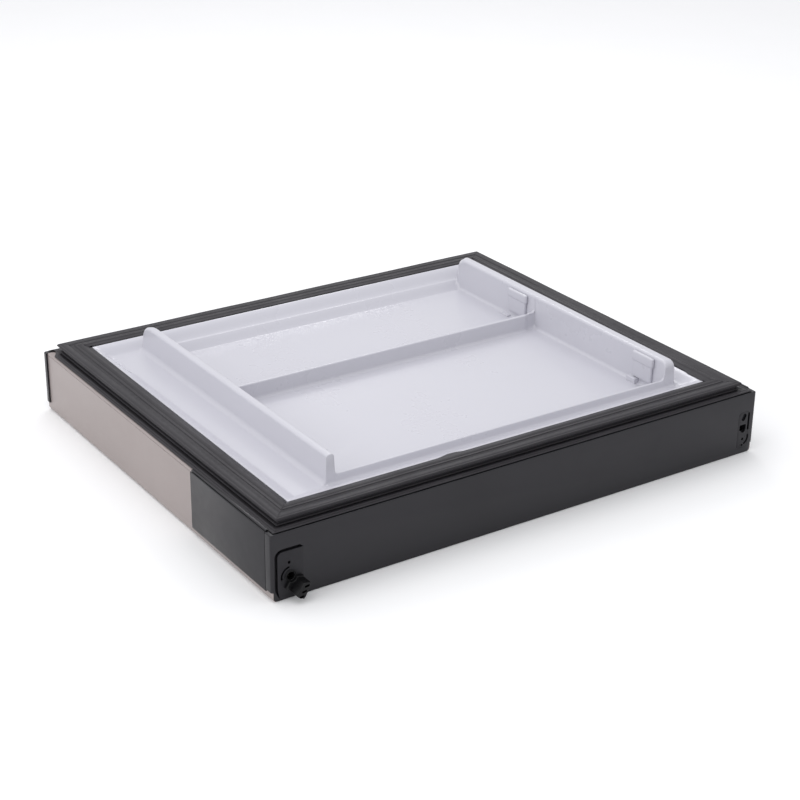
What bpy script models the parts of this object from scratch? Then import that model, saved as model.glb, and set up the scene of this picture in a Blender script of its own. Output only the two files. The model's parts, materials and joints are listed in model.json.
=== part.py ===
"""Freezer door of a top-freezer refrigerator, lying on its front with the inner side up.

Frame: metres, +Z from the front of the door to its inside, +X across the width and +Y from
the lower end of the door to its upper end. The origin is the middle of the front face.
"""

from math import cos, pi, radians, sin

import bmesh
import bpy
from mathutils import Matrix

MM = 0.001
GAP = 0.3 * MM

# Door body
HALF_X = 297.5 * MM
HALF_Y = 252.5 * MM
BODY_TOP = 69.6 * MM
SKIN = 0.6 * MM
SKIN_TOP = 70.0 * MM
SKIN_BEND = 4 * MM
HEM = 3 * MM
SKIRT_TOP = 9.7 * MM

# End caps and side covers
CAP_DEPTH = 14 * MM
CAP_PLATE = 4 * MM
CAP_SIDE = 5 * MM
CAP_RIM = 3.3 * MM
RETURN_DEPTH = 10 * MM
PROUD = 2 * MM
RETURN_BOTTOM = 10 * MM
COVER_LENGTH = 145 * MM
COVER_BOTTOM = 8 * MM
COVER_TOP = 71.6 * MM
COVER_LIP = 4.6 * MM

# Liner
SHEET = 1.5 * MM
FLOOR = 60.5 * MM
LINER_X = HALF_X - HEM - 2 * GAP
LINER_Y = HALF_Y - CAP_DEPTH - GAP
LEFT_DYKE = (-203.5 * MM, -193 * MM, 101 * MM, 3 * MM)
RIGHT_DYKE = (221.5 * MM, 235.5 * MM, 99 * MM, 7 * MM)
DYKE_Y = (-192.5 * MM, 199.5 * MM)
DYKE_FAR_CORNER = 15 * MM
NEAR_WALL = (4.5 * MM, 78.5 * MM)
RIDGE = (33.5 * MM, 39.5 * MM, 79.5 * MM)
SLOPE_Y = (184 * MM, 194 * MM)
LUG_PROUD = 6 * MM
LUG_ROOT = 0.7 * MM
LUGS = ((-176.5 * MM, -138.5 * MM, 67 * MM, 97 * MM), (50.5 * MM, 96.5 * MM, 68 * MM, 96 * MM))

# Gasket, as distances in from the edge of the door
DART_GROOVE = (20 * MM, 26 * MM, 65 * MM)
DART = (21.5 * MM, 24.5 * MM, 66 * MM)
GASKET_BASE = (3.8 * MM, 33 * MM, 71.4 * MM)
GASKET_BELLOWS = (15 * MM, 31 * MM, 75.2 * MM)
GASKET_FACE = (10.5 * MM, 38 * MM, 75.6 * MM, 79.3 * MM)
FACE_WALL = 1.2 * MM
MAGNET = (17 * MM, 29 * MM, 75.6 * MM, 77.6 * MM)

# Hinge corners
PIN_X = -278.8 * MM
PIN_Z = 23.4 * MM
PIN_BORE = 4 * MM
SLEEVE = 5.5 * MM
SLEEVE_CLEAR = 0.5 * MM
FLANGE = 6.2 * MM
FLANGE_PROUD = 0.9 * MM
SLEEVE_END = HALF_Y - 226 * MM
BORE_DEPTH = 22 * MM
# The cam's low lobe, and the outline, height and notch places of its block, from the pin's centre in mm
CAM_RADIUS = 12.5 * MM
CAM_LOBE_PROUD = 4 * MM
CAM_ANGLES = (-125, -8)
CAM_PROUD = 15 * MM
CAM_BLOCK = (
    (5.9, -2.4), (12.8, -3.2), (12.7, -7), (9.9, -12.2), (7.2, -17.2), (5.8, -19), (1.5, -17.8),
    (-2.5, -13.9), (0.5, -9.5), (3.1, -6.9),
)
CAM_NOTCHES = ((8.8, -6.4), (5.9, -11.5), (3.1, -16.2))
CAM_NOTCH = (2.6 * MM, 1.1 * MM, 6 * MM)
GUIDE_SLOT = (8.7 * MM, 10.3 * MM, 95, 195)
INSERT_SEAT = (294.2 * MM, 262 * MM, 51 * MM, 2.2 * MM)
INSERT_GROOVE = 1.2 * MM
INSERT_CORNER = 6 * MM
SPARE_HOLE = (283.9 * MM, 30.2 * MM, 4.4 * MM, 1.5 * MM)
HOLE_CLEAR = 0.6 * MM
INSERT_SCREWS = {
    -1: ((-280.1 * MM, 37.8 * MM, 1.7 * MM),),
    1: ((285.1 * MM, 43.3 * MM, 2.2 * MM), (285 * MM, 17.2 * MM, 1.4 * MM), (285 * MM, 9.5 * MM, 1.4 * MM)),
}
HOUSING = (8.6 * MM, 10 * MM, 222 * MM)
SPRING = (7 * MM, 0.6 * MM, 4.5)
PLATE = (290.9 * MM, 235 * MM, 5 * MM, 63 * MM, 1.6 * MM)

BLACK = (0.022, 0.022, 0.024)
COLOURS = {
    "stainless": ((0.43, 0.37, 0.35), 0.35, 0.8),
    "black_cap": (BLACK, 0.42, 0),
    "white_liner": ((0.82, 0.83, 0.87), 0.25, 0),
    "gasket": ((0.06, 0.06, 0.065), 0.55, 0),
    "magnet": ((0.05, 0.045, 0.04), 0.7, 0),
    "foam": ((0.8, 0.72, 0.5), 0.95, 0),
    "zinc_steel": ((0.55, 0.56, 0.58), 0.4, 1),
    "black_acetal": (BLACK, 0.3, 0),
}


def clear_scene():
    for obj in list(bpy.data.objects):
        bpy.data.objects.remove(obj)


def new_collection(name):
    collection = bpy.data.collections.new(name)
    bpy.context.scene.collection.children.link(collection)
    return collection


def new_material(name):
    colour, roughness, metallic = COLOURS[name]
    material = bpy.data.materials.new(name)
    material.use_nodes = True
    shader = material.node_tree.nodes["Principled BSDF"]
    shader.inputs["Base Color"].default_value = (*colour, 1)
    shader.inputs["Roughness"].default_value = roughness
    shader.inputs["Metallic"].default_value = metallic
    return material


def link(obj, finish):
    """Puts an object with the parts, or with the cutters when it has no finish."""
    if finish is None:
        CUTTERS.objects.link(obj)
        obj.hide_render = True
        obj.display_type = "WIRE"
    else:
        PARTS.objects.link(obj)
        obj.data.materials.append(MATERIALS[finish])
    return obj


def from_bmesh(name, shape, place, finish):
    mesh = bpy.data.meshes.new(name)
    shape.to_mesh(mesh)
    shape.free()
    obj = bpy.data.objects.new(name, mesh)
    obj.location = place
    return link(obj, finish)


def box(name, x, y, z, finish=None, bevel=0.0):
    """A box between two limits on each axis, with its edges rounded by bevel."""
    shape = bmesh.new()
    bmesh.ops.create_cube(shape, size=1)
    size = (x[1] - x[0], y[1] - y[0], z[1] - z[0])
    bmesh.ops.scale(shape, vec=size, verts=shape.verts)
    middle = ((x[0] + x[1]) / 2, (y[0] + y[1]) / 2, (z[0] + z[1]) / 2)
    obj = from_bmesh(name, shape, middle, finish)
    if bevel:
        round_edges(obj, bevel)
    return obj


def round_edges(obj, width, least_angle=20):
    bevel = obj.modifiers.new("rounding", "BEVEL")
    bevel.width = width
    bevel.segments = 2
    bevel.limit_method = "ANGLE"
    bevel.angle_limit = radians(least_angle)


def rod(name, x, z, y, radius, finish=None, sides=32):
    """A cylinder along Y between the two limits of y."""
    shape = bmesh.new()
    depth = abs(y[1] - y[0])
    bmesh.ops.create_cone(
        shape, cap_ends=True, segments=sides, radius1=radius, radius2=radius, depth=depth
    )
    bmesh.ops.rotate(shape, matrix=Matrix.Rotation(pi / 2, 3, "X"), verts=shape.verts)
    obj = from_bmesh(name, shape, (x, (y[0] + y[1]) / 2, z), finish)
    smooth(obj)
    return obj


def spare_hole(name, y, clear=0.0):
    """A cutter for the squarish hole of the corner that holds no hinge."""
    x, z, half, corner = SPARE_HOLE
    reach = half + clear
    return box(name, (x - reach, x + reach), y, (z - reach, z + reach), bevel=corner)


def smooth(obj):
    obj.data.shade_smooth()
    obj.data.set_sharp_from_angle(angle=radians(35))


def to_mesh(obj, finish):
    """Turns a curve into a mesh with closed caps, and removes the curve."""
    bpy.context.view_layer.update()
    graph = bpy.context.evaluated_depsgraph_get()
    mesh = bpy.data.meshes.new_from_object(obj.evaluated_get(graph))
    shape = bmesh.new()
    shape.from_mesh(mesh)
    bmesh.ops.remove_doubles(shape, verts=shape.verts, dist=1e-6)
    shape.to_mesh(mesh)
    shape.free()
    solid = bpy.data.objects.new(obj.name + "_solid", mesh)
    solid.matrix_world = obj.matrix_world
    name = obj.name
    bpy.data.objects.remove(obj)
    solid.name = name
    return link(solid, finish)


def outline(name, points, along, span, finish=None):
    """A flat outline given thickness between the limits of span, along X or Y.

    The points are (y, z) for a piece along X, and (x, z) for a piece along Y.
    """
    curve = bpy.data.curves.new(name, "CURVE")
    curve.dimensions = "2D"
    curve.fill_mode = "BOTH"
    curve.extrude = abs(span[1] - span[0]) / 2
    spline = curve.splines.new("POLY")
    spline.points.add(len(points) - 1)
    for point, (across, up) in zip(spline.points, points):
        point.co = (across, up, 0, 1)
    spline.use_cyclic_u = True
    obj = bpy.data.objects.new(name, curve)
    bpy.context.scene.collection.objects.link(obj)
    middle = (span[0] + span[1]) / 2
    if along == "X":
        obj.matrix_world = Matrix(((0, 0, 1, middle), (1, 0, 0, 0), (0, 1, 0, 0), (0, 0, 0, 1)))
    else:
        obj.matrix_world = Matrix(((1, 0, 0, 0), (0, 0, -1, middle), (0, 1, 0, 0), (0, 0, 0, 1)))
    return to_mesh(obj, finish)


def combine(obj, other, operation):
    modifier = obj.modifiers.new(operation.lower(), "BOOLEAN")
    modifier.operation = operation
    modifier.object = other
    modifier.solver = "EXACT"


def cut(obj, *cutters):
    for cutter in cutters:
        combine(obj, cutter, "DIFFERENCE")


def join(obj, *others):
    for other in others:
        combine(obj, other, "UNION")


def ring(name, outer, inner, z, finish=None):
    """A rectangular ring that follows the door's edge, between two distances in from it."""
    obj = box(
        name,
        (outer - HALF_X, HALF_X - outer),
        (outer - HALF_Y, HALF_Y - outer),
        z,
        finish,
    )
    hole = box(
        name + "_hole",
        (inner - HALF_X, HALF_X - inner),
        (inner - HALF_Y, HALF_Y - inner),
        (z[0] - 5 * MM, z[1] + 5 * MM),
    )
    cut(obj, hole)
    return obj


def arc(centre, radius, start, end, steps):
    for step in range(steps + 1):
        angle = radians(start + (end - start) * step / steps)
        yield centre[0] + radius * cos(angle), centre[1] + radius * sin(angle)


def sector(name, centre, radii, angles, y, finish=None):
    """Part of a flat ring, seen along Y, with a thickness along Y."""
    points = list(arc(centre, radii[1], angles[0], angles[1], 12))
    points += arc(centre, radii[0], angles[1], angles[0], 8)
    return outline(name, points, "Y", y, finish)


def body_section(name, half_x, z, y, finish=None):
    """A block along Y whose lower corners follow the inside of the skin's bends."""
    corner = SKIN_BEND - SKIN - GAP
    middle = half_x - corner
    points = list(arc((middle, z[0] + corner), corner, 0, -90, 4))
    points += arc((-middle, z[0] + corner), corner, -90, -180, 4)
    points += [(-half_x, z[1]), (half_x, z[1])]
    return outline(name, points, "Y", y, finish)


def front_skin():
    """The painted steel front, bent up on both long sides and hemmed over at the back."""
    half = SKIN / 2
    side = HALF_X - half
    bend = SKIN_BEND - half
    corner = list(arc((side - bend, half + bend), bend, 0, -90, 4))
    path = [(side - HEM, SKIN_TOP - half), (side, SKIN_TOP - half), (side, SKIRT_TOP)] + corner
    path += [(-x, z) for x, z in reversed(path)]
    shape = bmesh.new()
    ends = (GAP - HALF_Y, CAP_DEPTH + GAP - HALF_Y, HALF_Y - CAP_DEPTH - GAP, HALF_Y - GAP)
    verts = [shape.verts.new((x, ends[0], z)) for x, z in path]
    edges = [shape.edges.new(pair) for pair in zip(verts, verts[1:])]
    for low, high in zip(ends, ends[1:]):
        made = bmesh.ops.extrude_edge_only(shape, edges=edges)["geom"]
        moved = [item for item in made if isinstance(item, bmesh.types.BMVert)]
        edges = [item for item in made if isinstance(item, bmesh.types.BMEdge)]
        edges = [edge for edge in edges if all(vert in moved for vert in edge.verts)]
        bmesh.ops.translate(shape, vec=(0, high - low, 0), verts=moved)
    above = SKIRT_TOP + GAP
    notches = []
    for face in shape.faces:
        middle = face.calc_center_median()
        if abs(middle.y) > HALF_Y - CAP_DEPTH and middle.z > above:
            notches.append(face)
    bmesh.ops.delete(shape, geom=notches, context="FACES")
    bmesh.ops.recalc_face_normals(shape, faces=shape.faces)
    skin = from_bmesh("front_skin", shape, (0, 0, 0), "stainless")
    sheet = skin.modifiers.new("sheet", "SOLIDIFY")
    sheet.thickness = SKIN
    sheet.offset = 0
    sheet.use_even_offset = True
    smooth(skin)


def end_cap(name, side):
    """A moulded cap that closes one end of the skin; side is -1 at the lower end, 1 at the upper."""

    def span(near, far):
        return tuple(sorted((side * (HALF_Y - near), side * (HALF_Y - far))))

    plug = HALF_X - SKIN - GAP
    cap = body_section(name, plug, (SKIN + GAP, BODY_TOP), span(0, CAP_DEPTH), "black_cap")
    outer = HALF_X + PROUD
    returns = box(
        name + "_returns", (-outer, outer), span(0, RETURN_DEPTH), (RETURN_BOTTOM, SKIN_TOP)
    )
    pocket = box(
        name + "_pocket",
        (CAP_SIDE - plug, plug - CAP_SIDE),
        span(CAP_PLATE, CAP_DEPTH + 5 * MM),
        (CAP_RIM + SKIN, BODY_TOP - CAP_RIM),
    )
    join(cap, returns)
    cut(cap, pocket)
    return cap


def bottom_end_cap():
    cap = end_cap("bottom_end_cap", -1)
    outer, inner, top, depth = INSERT_SEAT
    for side in (-1, 1):
        x = tuple(sorted((side * outer, side * inner)))
        name = "seat_left" if side < 0 else "seat_right"
        seat = box(name, x, (-HALF_Y - 5 * MM, depth - HALF_Y), (0, top))
        cut(cap, seat)
    through = (-HALF_Y - 5 * MM, CAP_PLATE + 3 * MM - HALF_Y)
    cut(cap, rod("pin_hole", PIN_X, PIN_Z, through, SLEEVE + SLEEVE_CLEAR))
    cut(cap, spare_hole("spare_pin_hole", through, HOLE_CLEAR))
    return cap


def top_end_cap():
    cap = end_cap("top_end_cap", 1)
    through = (HALF_Y - CAP_PLATE - 2 * MM, HALF_Y + 5 * MM)
    for side, name in ((1, "left"), (-1, "right")):
        bore = rod("top_hole_" + name, side * PIN_X, PIN_Z, through, SLEEVE + SLEEVE_CLEAR)
        cut(cap, bore)
    return cap


def side_cover(name, side):
    """The black cover at the lower end of a long side, folded over the hem of the skin."""
    outer = HALF_X + PROUD
    inner = HALF_X + GAP
    fold = SKIN_TOP + GAP
    lip = outer - COVER_LIP
    corner = 1.3 * MM
    points = [
        (outer, COVER_BOTTOM),
        (outer, COVER_TOP - corner),
        (outer - corner, COVER_TOP),
        (lip, COVER_TOP),
        (lip, fold),
        (inner, fold),
        (inner, COVER_BOTTOM),
    ]
    start = RETURN_DEPTH + GAP - HALF_Y
    points = [(side * x, z) for x, z in points]
    return outline(name, points, "Y", (start, start + COVER_LENGTH), "black_cap")


def dyke_block(name, dyke, offset, rise, width):
    """One upstanding side wall of the liner, with its top corners rounded as seen along X."""
    left, right, top, near_corner = dyke
    near = DYKE_Y[0] + offset
    far = DYKE_Y[1] - offset
    high = top - offset
    radius = near_corner - offset
    points = [(near, rise)] + list(arc((near + radius, high - radius), radius, 180, 90, 4))
    radius = DYKE_FAR_CORNER - offset
    points += arc((far - radius, high - radius), radius, 90, 0, 4)
    points.append((far, rise))
    block = outline(name, points, "X", (left + offset, right - offset))
    round_edges(block, width, least_angle=35)
    return block


def liner_form(name, offset, half, bottom, finish=None):
    """A solid under the liner's surface, lowered by offset; half is its reach in x and y."""

    def soft(size):
        return min(3 * MM - offset, 0.35 * (size - 2 * offset))

    form = body_section(name, half[0], (bottom, BODY_TOP - offset), (-half[1], half[1]), finish)
    rise = BODY_TOP - 12 * MM
    for label, dyke in (("_left", LEFT_DYKE), ("_right", RIGHT_DYKE)):
        width = soft(dyke[1] - dyke[0])
        join(form, dyke_block(name + label, dyke, offset, rise, width))
    width, top = NEAR_WALL
    wall = box(
        name + "_near",
        (LEFT_DYKE[0] + width, RIGHT_DYKE[1] - width),
        (DYKE_Y[0] + offset, DYKE_Y[0] + width - offset),
        (rise, top - offset),
        bevel=soft(width),
    )
    ridge = box(
        name + "_ridge",
        (LEFT_DYKE[0] + width, RIGHT_DYKE[1] - width),
        (RIDGE[0] + offset, RIDGE[1] - offset),
        (rise, RIDGE[2] - offset),
        bevel=soft(RIDGE[1] - RIDGE[0]),
    )
    join(form, wall, ridge)
    left = LEFT_DYKE[1] - offset
    right = RIGHT_DYKE[0] + offset
    near = box(
        name + "_near_bay",
        (left, right),
        (DYKE_Y[0] + width - offset, RIDGE[0] + offset),
        (FLOOR - offset, FLOOR + 60 * MM),
        bevel=5 * MM + offset,
    )
    shift = 0.38 * offset
    bay = [
        (RIDGE[1] - offset, FLOOR - offset),
        (SLOPE_Y[0] + shift, FLOOR - offset),
        (SLOPE_Y[1] + shift, BODY_TOP - offset),
        (SLOPE_Y[1] + shift, FLOOR + 60 * MM),
        (RIDGE[1] - offset, FLOOR + 60 * MM),
    ]
    far = outline(name + "_far_bay", bay, "X", (left, right))
    round_edges(far, 5 * MM + offset)
    groove = ring(
        name + "_groove",
        DART_GROOVE[0] - offset,
        DART_GROOVE[1] + offset,
        (DART_GROOVE[2] - offset, BODY_TOP + 5 * MM),
    )
    cut(form, near, far, groove)
    return form


def door_liner():
    """The thermoformed inner sheet, with the lugs that hold the shelf fronts."""
    liner = liner_form("door_liner", 0.0, (LINER_X, LINER_Y), 45 * MM, "white_liner")
    beyond = (HALF_X + 10 * MM, HALF_Y + 10 * MM)
    cut(liner, liner_form("liner_back", SHEET, beyond, 40 * MM))
    faces = ((LEFT_DYKE[1], 1, "left"), (RIGHT_DYKE[0], -1, "right"))
    for number, (y0, y1, z0, z1) in enumerate(LUGS):
        for face, inward, side in faces:
            x = tuple(sorted((face - inward * LUG_ROOT, face + inward * LUG_PROUD)))
            lug = box("lug_%s_%d" % (side, number), x, (y0, y1), (z0, z1), bevel=1.5 * MM)
            join(liner, lug)
    return liner


def foam_core():
    """The insulation between the skin and the liner, which also fills the dykes and caps."""
    half = (HALF_X - SKIN - GAP, LINER_Y)
    bottom = SKIN + GAP
    foam = liner_form("foam_core", SHEET + GAP, half, bottom, "foam")
    plug = HALF_X - SKIN - CAP_SIDE - 2 * GAP
    reach = HALF_Y - CAP_PLATE - PLATE[4] - 2 * GAP
    ends = box(
        "foam_ends",
        (-plug, plug),
        (-reach, reach),
        (CAP_RIM + SKIN + GAP, BODY_TOP - CAP_RIM - GAP),
    )
    keep = box(
        "foam_ends_middle",
        (-plug - MM, plug + MM),
        (-half[1] + 2 * MM, half[1] - 2 * MM),
        (0, BODY_TOP),
    )
    cut(ends, keep)
    join(foam, ends)
    housing = rod(
        "housing_room", PIN_X, PIN_Z, (-HALF_Y, GAP - HOUSING[2]), HOUSING[1] + GAP
    )
    bush = rod("bush_room", PIN_X, PIN_Z, (HALF_Y - SLEEVE_END - GAP, HALF_Y), SLEEVE + SLEEVE_CLEAR)
    stem = rod("plug_room", -PIN_X, PIN_Z, (HALF_Y - 13 * MM, HALF_Y), SLEEVE + SLEEVE_CLEAR)
    spare = spare_hole("spare_room", (-HALF_Y, 25 * MM - HALF_Y), HOLE_CLEAR)
    cut(foam, housing, bush, stem, spare)
    return foam


def hinge_insert(name, side):
    """The bearing plate let into a lower corner; the left one carries the door closer."""
    outer, inner, top, depth = INSERT_SEAT
    left = side * (outer - INSERT_GROOVE)
    right = side * (inner + GAP)
    high = top - INSERT_GROOVE
    low = SKIN + 3 * GAP
    radius = INSERT_CORNER
    centre = (left - side * radius, high - radius)
    start, end = (180, 90) if side < 0 else (0, 90)
    points = [(left, low)] + list(arc(centre, radius, start, end, 6))
    points += [(right, high), (right, low)]
    insert = outline(name, points, "Y", (MM / 10 - HALF_Y, depth - GAP - HALF_Y), "black_acetal")
    through = (-HALF_Y - 5 * MM, depth + MM - HALF_Y)
    if side < 0:
        holes = [rod(name + "_bore", PIN_X, PIN_Z, through, SLEEVE + SLEEVE_CLEAR)]
        holes.append(sector(name + "_slot", (PIN_X, PIN_Z), GUIDE_SLOT[:2], GUIDE_SLOT[2:], through))
    else:
        holes = [spare_hole(name + "_bore", through)]
    for number, (x, z, radius) in enumerate(INSERT_SCREWS[side]):
        holes.append(rod(name + "_screw_%d" % number, x, z, through, radius, sides=16))
    cut(insert, *holes)
    return insert


def closer_cam():
    """The sprung sleeve that takes the lower hinge pin, with its toothed cam outside."""
    front = FLANGE_PROUD + HALF_Y
    inside = -(HALF_Y - SLEEVE_END)
    cam = rod("closer_cam", PIN_X, PIN_Z, (-front, inside), SLEEVE, "black_acetal")
    flange = rod("cam_flange", PIN_X, PIN_Z, (-front, -HALF_Y - GAP), FLANGE)
    lobe = sector(
        "cam_lobe",
        (PIN_X, PIN_Z),
        (SLEEVE - 0.6 * MM, CAM_RADIUS),
        CAM_ANGLES,
        (-HALF_Y - CAM_LOBE_PROUD, -HALF_Y - GAP),
    )
    points = [(PIN_X + x * MM, PIN_Z + z * MM) for x, z in CAM_BLOCK]
    block = outline("cam_block", points, "Y", (-HALF_Y - CAM_PROUD, -HALF_Y - GAP))
    join(cam, flange, lobe, block)
    bore = rod("cam_bore", PIN_X, PIN_Z, (-HALF_Y - 17 * MM, BORE_DEPTH - HALF_Y), PIN_BORE)
    cut(cam, bore)
    reach, rise, depth = CAM_NOTCH
    for number, (across, up) in enumerate(CAM_NOTCHES):
        x, z = PIN_X + across * MM, PIN_Z + up * MM
        front = -HALF_Y - CAM_PROUD
        place = ((x - reach, x + reach), (front - MM, front + depth), (z - rise, z + rise))
        cut(cam, box("cam_notch_%d" % number, *place))
    return cam


def closer_housing():
    inner, outer, end = HOUSING
    start = HALF_Y - CAP_PLATE - PLATE[4] - 2 * GAP
    cup = rod("closer_housing", PIN_X, PIN_Z, (-start, -end), outer, "black_acetal")
    cut(cup, rod("housing_hollow", PIN_X, PIN_Z, (-start - MM, -end - 1.5 * MM), inner))
    return cup


def closer_spring():
    """The torsion spring round the sleeve, as one open coil of round wire."""
    radius, wire, turns = SPRING
    steps = int(turns * 12)
    first = -HALF_Y + 9 * MM
    last = -HOUSING[2] - 4 * MM
    curve = bpy.data.curves.new("closer_spring", "CURVE")
    curve.dimensions = "3D"
    curve.bevel_depth = wire
    curve.bevel_resolution = 2
    curve.use_fill_caps = True
    spline = curve.splines.new("POLY")
    spline.points.add(steps)
    for step, point in enumerate(spline.points):
        angle = 2 * pi * step / 12
        along = first + (last - first) * step / steps
        point.co = (PIN_X + radius * cos(angle), along, PIN_Z + radius * sin(angle), 1)
    obj = bpy.data.objects.new("closer_spring", curve)
    bpy.context.scene.collection.objects.link(obj)
    return to_mesh(obj, "zinc_steel")


def top_hinge_bush():
    back = HALF_Y - SLEEVE_END
    bush = rod("top_hinge_bush", PIN_X, PIN_Z, (back, HALF_Y + FLANGE_PROUD), SLEEVE, "black_acetal")
    join(bush, rod("bush_flange", PIN_X, PIN_Z, (HALF_Y + GAP, HALF_Y + FLANGE_PROUD), FLANGE + MM))
    bore = (HALF_Y - BORE_DEPTH, HALF_Y + 5 * MM)
    cut(bush, rod("bush_bore", PIN_X, PIN_Z, bore, PIN_BORE))
    return bush


def top_hole_plug():
    """The blank that closes the upper hinge hole on the side that isn't hinged."""
    stem = rod("top_hole_plug", -PIN_X, PIN_Z, (HALF_Y - 12 * MM, HALF_Y + MM), 5 * MM, "black_acetal")
    join(stem, rod("plug_head", -PIN_X, PIN_Z, (HALF_Y + GAP, HALF_Y + MM), FLANGE + MM))
    return stem


def corner_plates():
    """The steel plates behind the caps that spread the load of the hinges."""
    outer, inner, low, high, thick = PLATE
    for end, end_name in ((-1, "bottom"), (1, "top")):
        face = HALF_Y - CAP_PLATE - GAP
        y = tuple(sorted((end * face, end * (face - thick))))
        for side, side_name in ((-1, "left"), (1, "right")):
            x = tuple(sorted((side * outer, side * inner)))
            name = "%s_plate_%s" % (end_name, side_name)
            plate = box(name, x, y, (low, high), "zinc_steel")
            past = (y[0] - MM, y[1] + MM)
            if (end, side) == (-1, 1):
                hole = spare_hole(name + "_hole", past, HOLE_CLEAR)
            else:
                hole = rod(name + "_hole", side * abs(PIN_X), PIN_Z, past, SLEEVE + SLEEVE_CLEAR)
            cut(plate, hole)


def gasket():
    base = ring(
        "gasket_base", GASKET_BASE[0], GASKET_BASE[1], (SKIN_TOP + GAP, GASKET_BASE[2]), "gasket"
    )
    dart = ring("gasket_dart", DART[0], DART[1], (DART[2], GASKET_BASE[2] - 0.5 * MM))
    join(base, dart)
    outer, inner, top = GASKET_BELLOWS
    ring("gasket_bellows", outer, inner, (GASKET_BASE[2] + GAP, top), "gasket")
    outer, inner, low, high = GASKET_FACE
    face = ring("gasket_face", outer, inner, (low, high), "gasket")
    under = (low - MM, high - FACE_WALL)
    cut(face, ring("gasket_face_channel", outer + FACE_WALL, inner - FACE_WALL, under))


def magnets():
    """Four strips of magnet in the gasket's face, one along each side."""
    outer, inner, low, high = MAGNET
    long_x = HALF_X - outer
    short_y = HALF_Y - inner - GAP
    z = (low, high)
    box("magnet_lower", (-long_x, long_x), (outer - HALF_Y, inner - HALF_Y), z, "magnet")
    box("magnet_upper", (-long_x, long_x), (HALF_Y - inner, HALF_Y - outer), z, "magnet")
    box("magnet_left", (outer - HALF_X, inner - HALF_X), (-short_y, short_y), z, "magnet")
    box("magnet_right", (HALF_X - inner, HALF_X - outer), (-short_y, short_y), z, "magnet")


clear_scene()
PARTS = new_collection("freezer_door")
CUTTERS = new_collection("cutters")
MATERIALS = {name: new_material(name) for name in COLOURS}
front_skin()
bottom_end_cap()
top_end_cap()
side_cover("left_side_cover", -1)
side_cover("right_side_cover", 1)
door_liner()
foam_core()
gasket()
magnets()
hinge_insert("hinge_insert", -1)
hinge_insert("spare_hinge_insert", 1)
closer_cam()
closer_housing()
closer_spring()
top_hinge_bush()
top_hole_plug()
corner_plates()
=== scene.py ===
"""The finished look of a freezer door that lies on its front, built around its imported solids."""

import json
from math import cos, pi, radians, sin, sqrt

import bmesh
import bpy
from bpy.props import FloatProperty, FloatVectorProperty, PointerProperty
from mathutils import Matrix, Vector


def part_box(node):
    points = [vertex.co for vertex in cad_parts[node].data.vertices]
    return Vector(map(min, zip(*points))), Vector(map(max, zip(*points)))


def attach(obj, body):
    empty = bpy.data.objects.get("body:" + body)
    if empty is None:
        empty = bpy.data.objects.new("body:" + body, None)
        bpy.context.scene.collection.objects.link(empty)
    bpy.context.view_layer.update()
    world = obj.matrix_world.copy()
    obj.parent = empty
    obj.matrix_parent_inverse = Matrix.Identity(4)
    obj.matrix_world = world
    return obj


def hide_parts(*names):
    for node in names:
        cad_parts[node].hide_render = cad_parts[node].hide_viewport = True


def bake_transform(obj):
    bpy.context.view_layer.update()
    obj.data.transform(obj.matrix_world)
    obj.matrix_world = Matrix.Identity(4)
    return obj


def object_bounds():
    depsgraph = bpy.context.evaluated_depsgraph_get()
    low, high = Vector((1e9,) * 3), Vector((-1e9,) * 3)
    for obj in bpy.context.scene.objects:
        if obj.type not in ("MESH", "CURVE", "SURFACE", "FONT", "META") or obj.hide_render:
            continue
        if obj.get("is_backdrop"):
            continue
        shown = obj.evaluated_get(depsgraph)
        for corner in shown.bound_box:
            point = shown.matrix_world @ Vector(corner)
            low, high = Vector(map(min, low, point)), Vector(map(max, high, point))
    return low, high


bl_info = {
    "name": "Freezer Door",
    "version": (1, 0, 0),
    "blender": (4, 5, 0),
    "location": "View3D > Sidebar > Freezer Door",
    "description": "Builds the finished skin, caps, liner, gasket and hinge parts of a freezer door",
    "category": "Object",
}

MM = 0.001
WELD = 0.004 * MM
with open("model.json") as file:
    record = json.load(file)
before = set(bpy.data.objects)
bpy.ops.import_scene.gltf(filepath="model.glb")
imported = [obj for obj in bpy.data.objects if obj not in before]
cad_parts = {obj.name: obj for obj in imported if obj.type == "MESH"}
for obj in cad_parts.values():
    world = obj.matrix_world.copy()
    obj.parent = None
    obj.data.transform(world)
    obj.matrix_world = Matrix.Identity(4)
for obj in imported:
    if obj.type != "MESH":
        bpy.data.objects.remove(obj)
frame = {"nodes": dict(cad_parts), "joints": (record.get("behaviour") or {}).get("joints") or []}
CAD_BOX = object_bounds()

# Main planes of the door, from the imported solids
CAP_LOW, CAP_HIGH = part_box("bottom_end_cap")
SKIN_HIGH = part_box("front_skin")[1]
COVER_LOW, COVER_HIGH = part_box("right_side_cover")
CAM_LOW, CAM_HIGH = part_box("closer_cam")
BUSH_LOW, BUSH_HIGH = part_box("top_hinge_bush")
LINER_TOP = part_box("door_liner")[1].z
HALF_X = SKIN_HIGH.x
HALF_Y = -CAP_LOW.y
OUTER_X = CAP_HIGH.x
BODY_TOP = SKIN_HIGH.z
FLANGE = BODY_TOP - 0.4 * MM
PIN = Vector(next(joint["pos_m"] for joint in frame["joints"] if joint["name"] == "closer_turn"))

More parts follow.
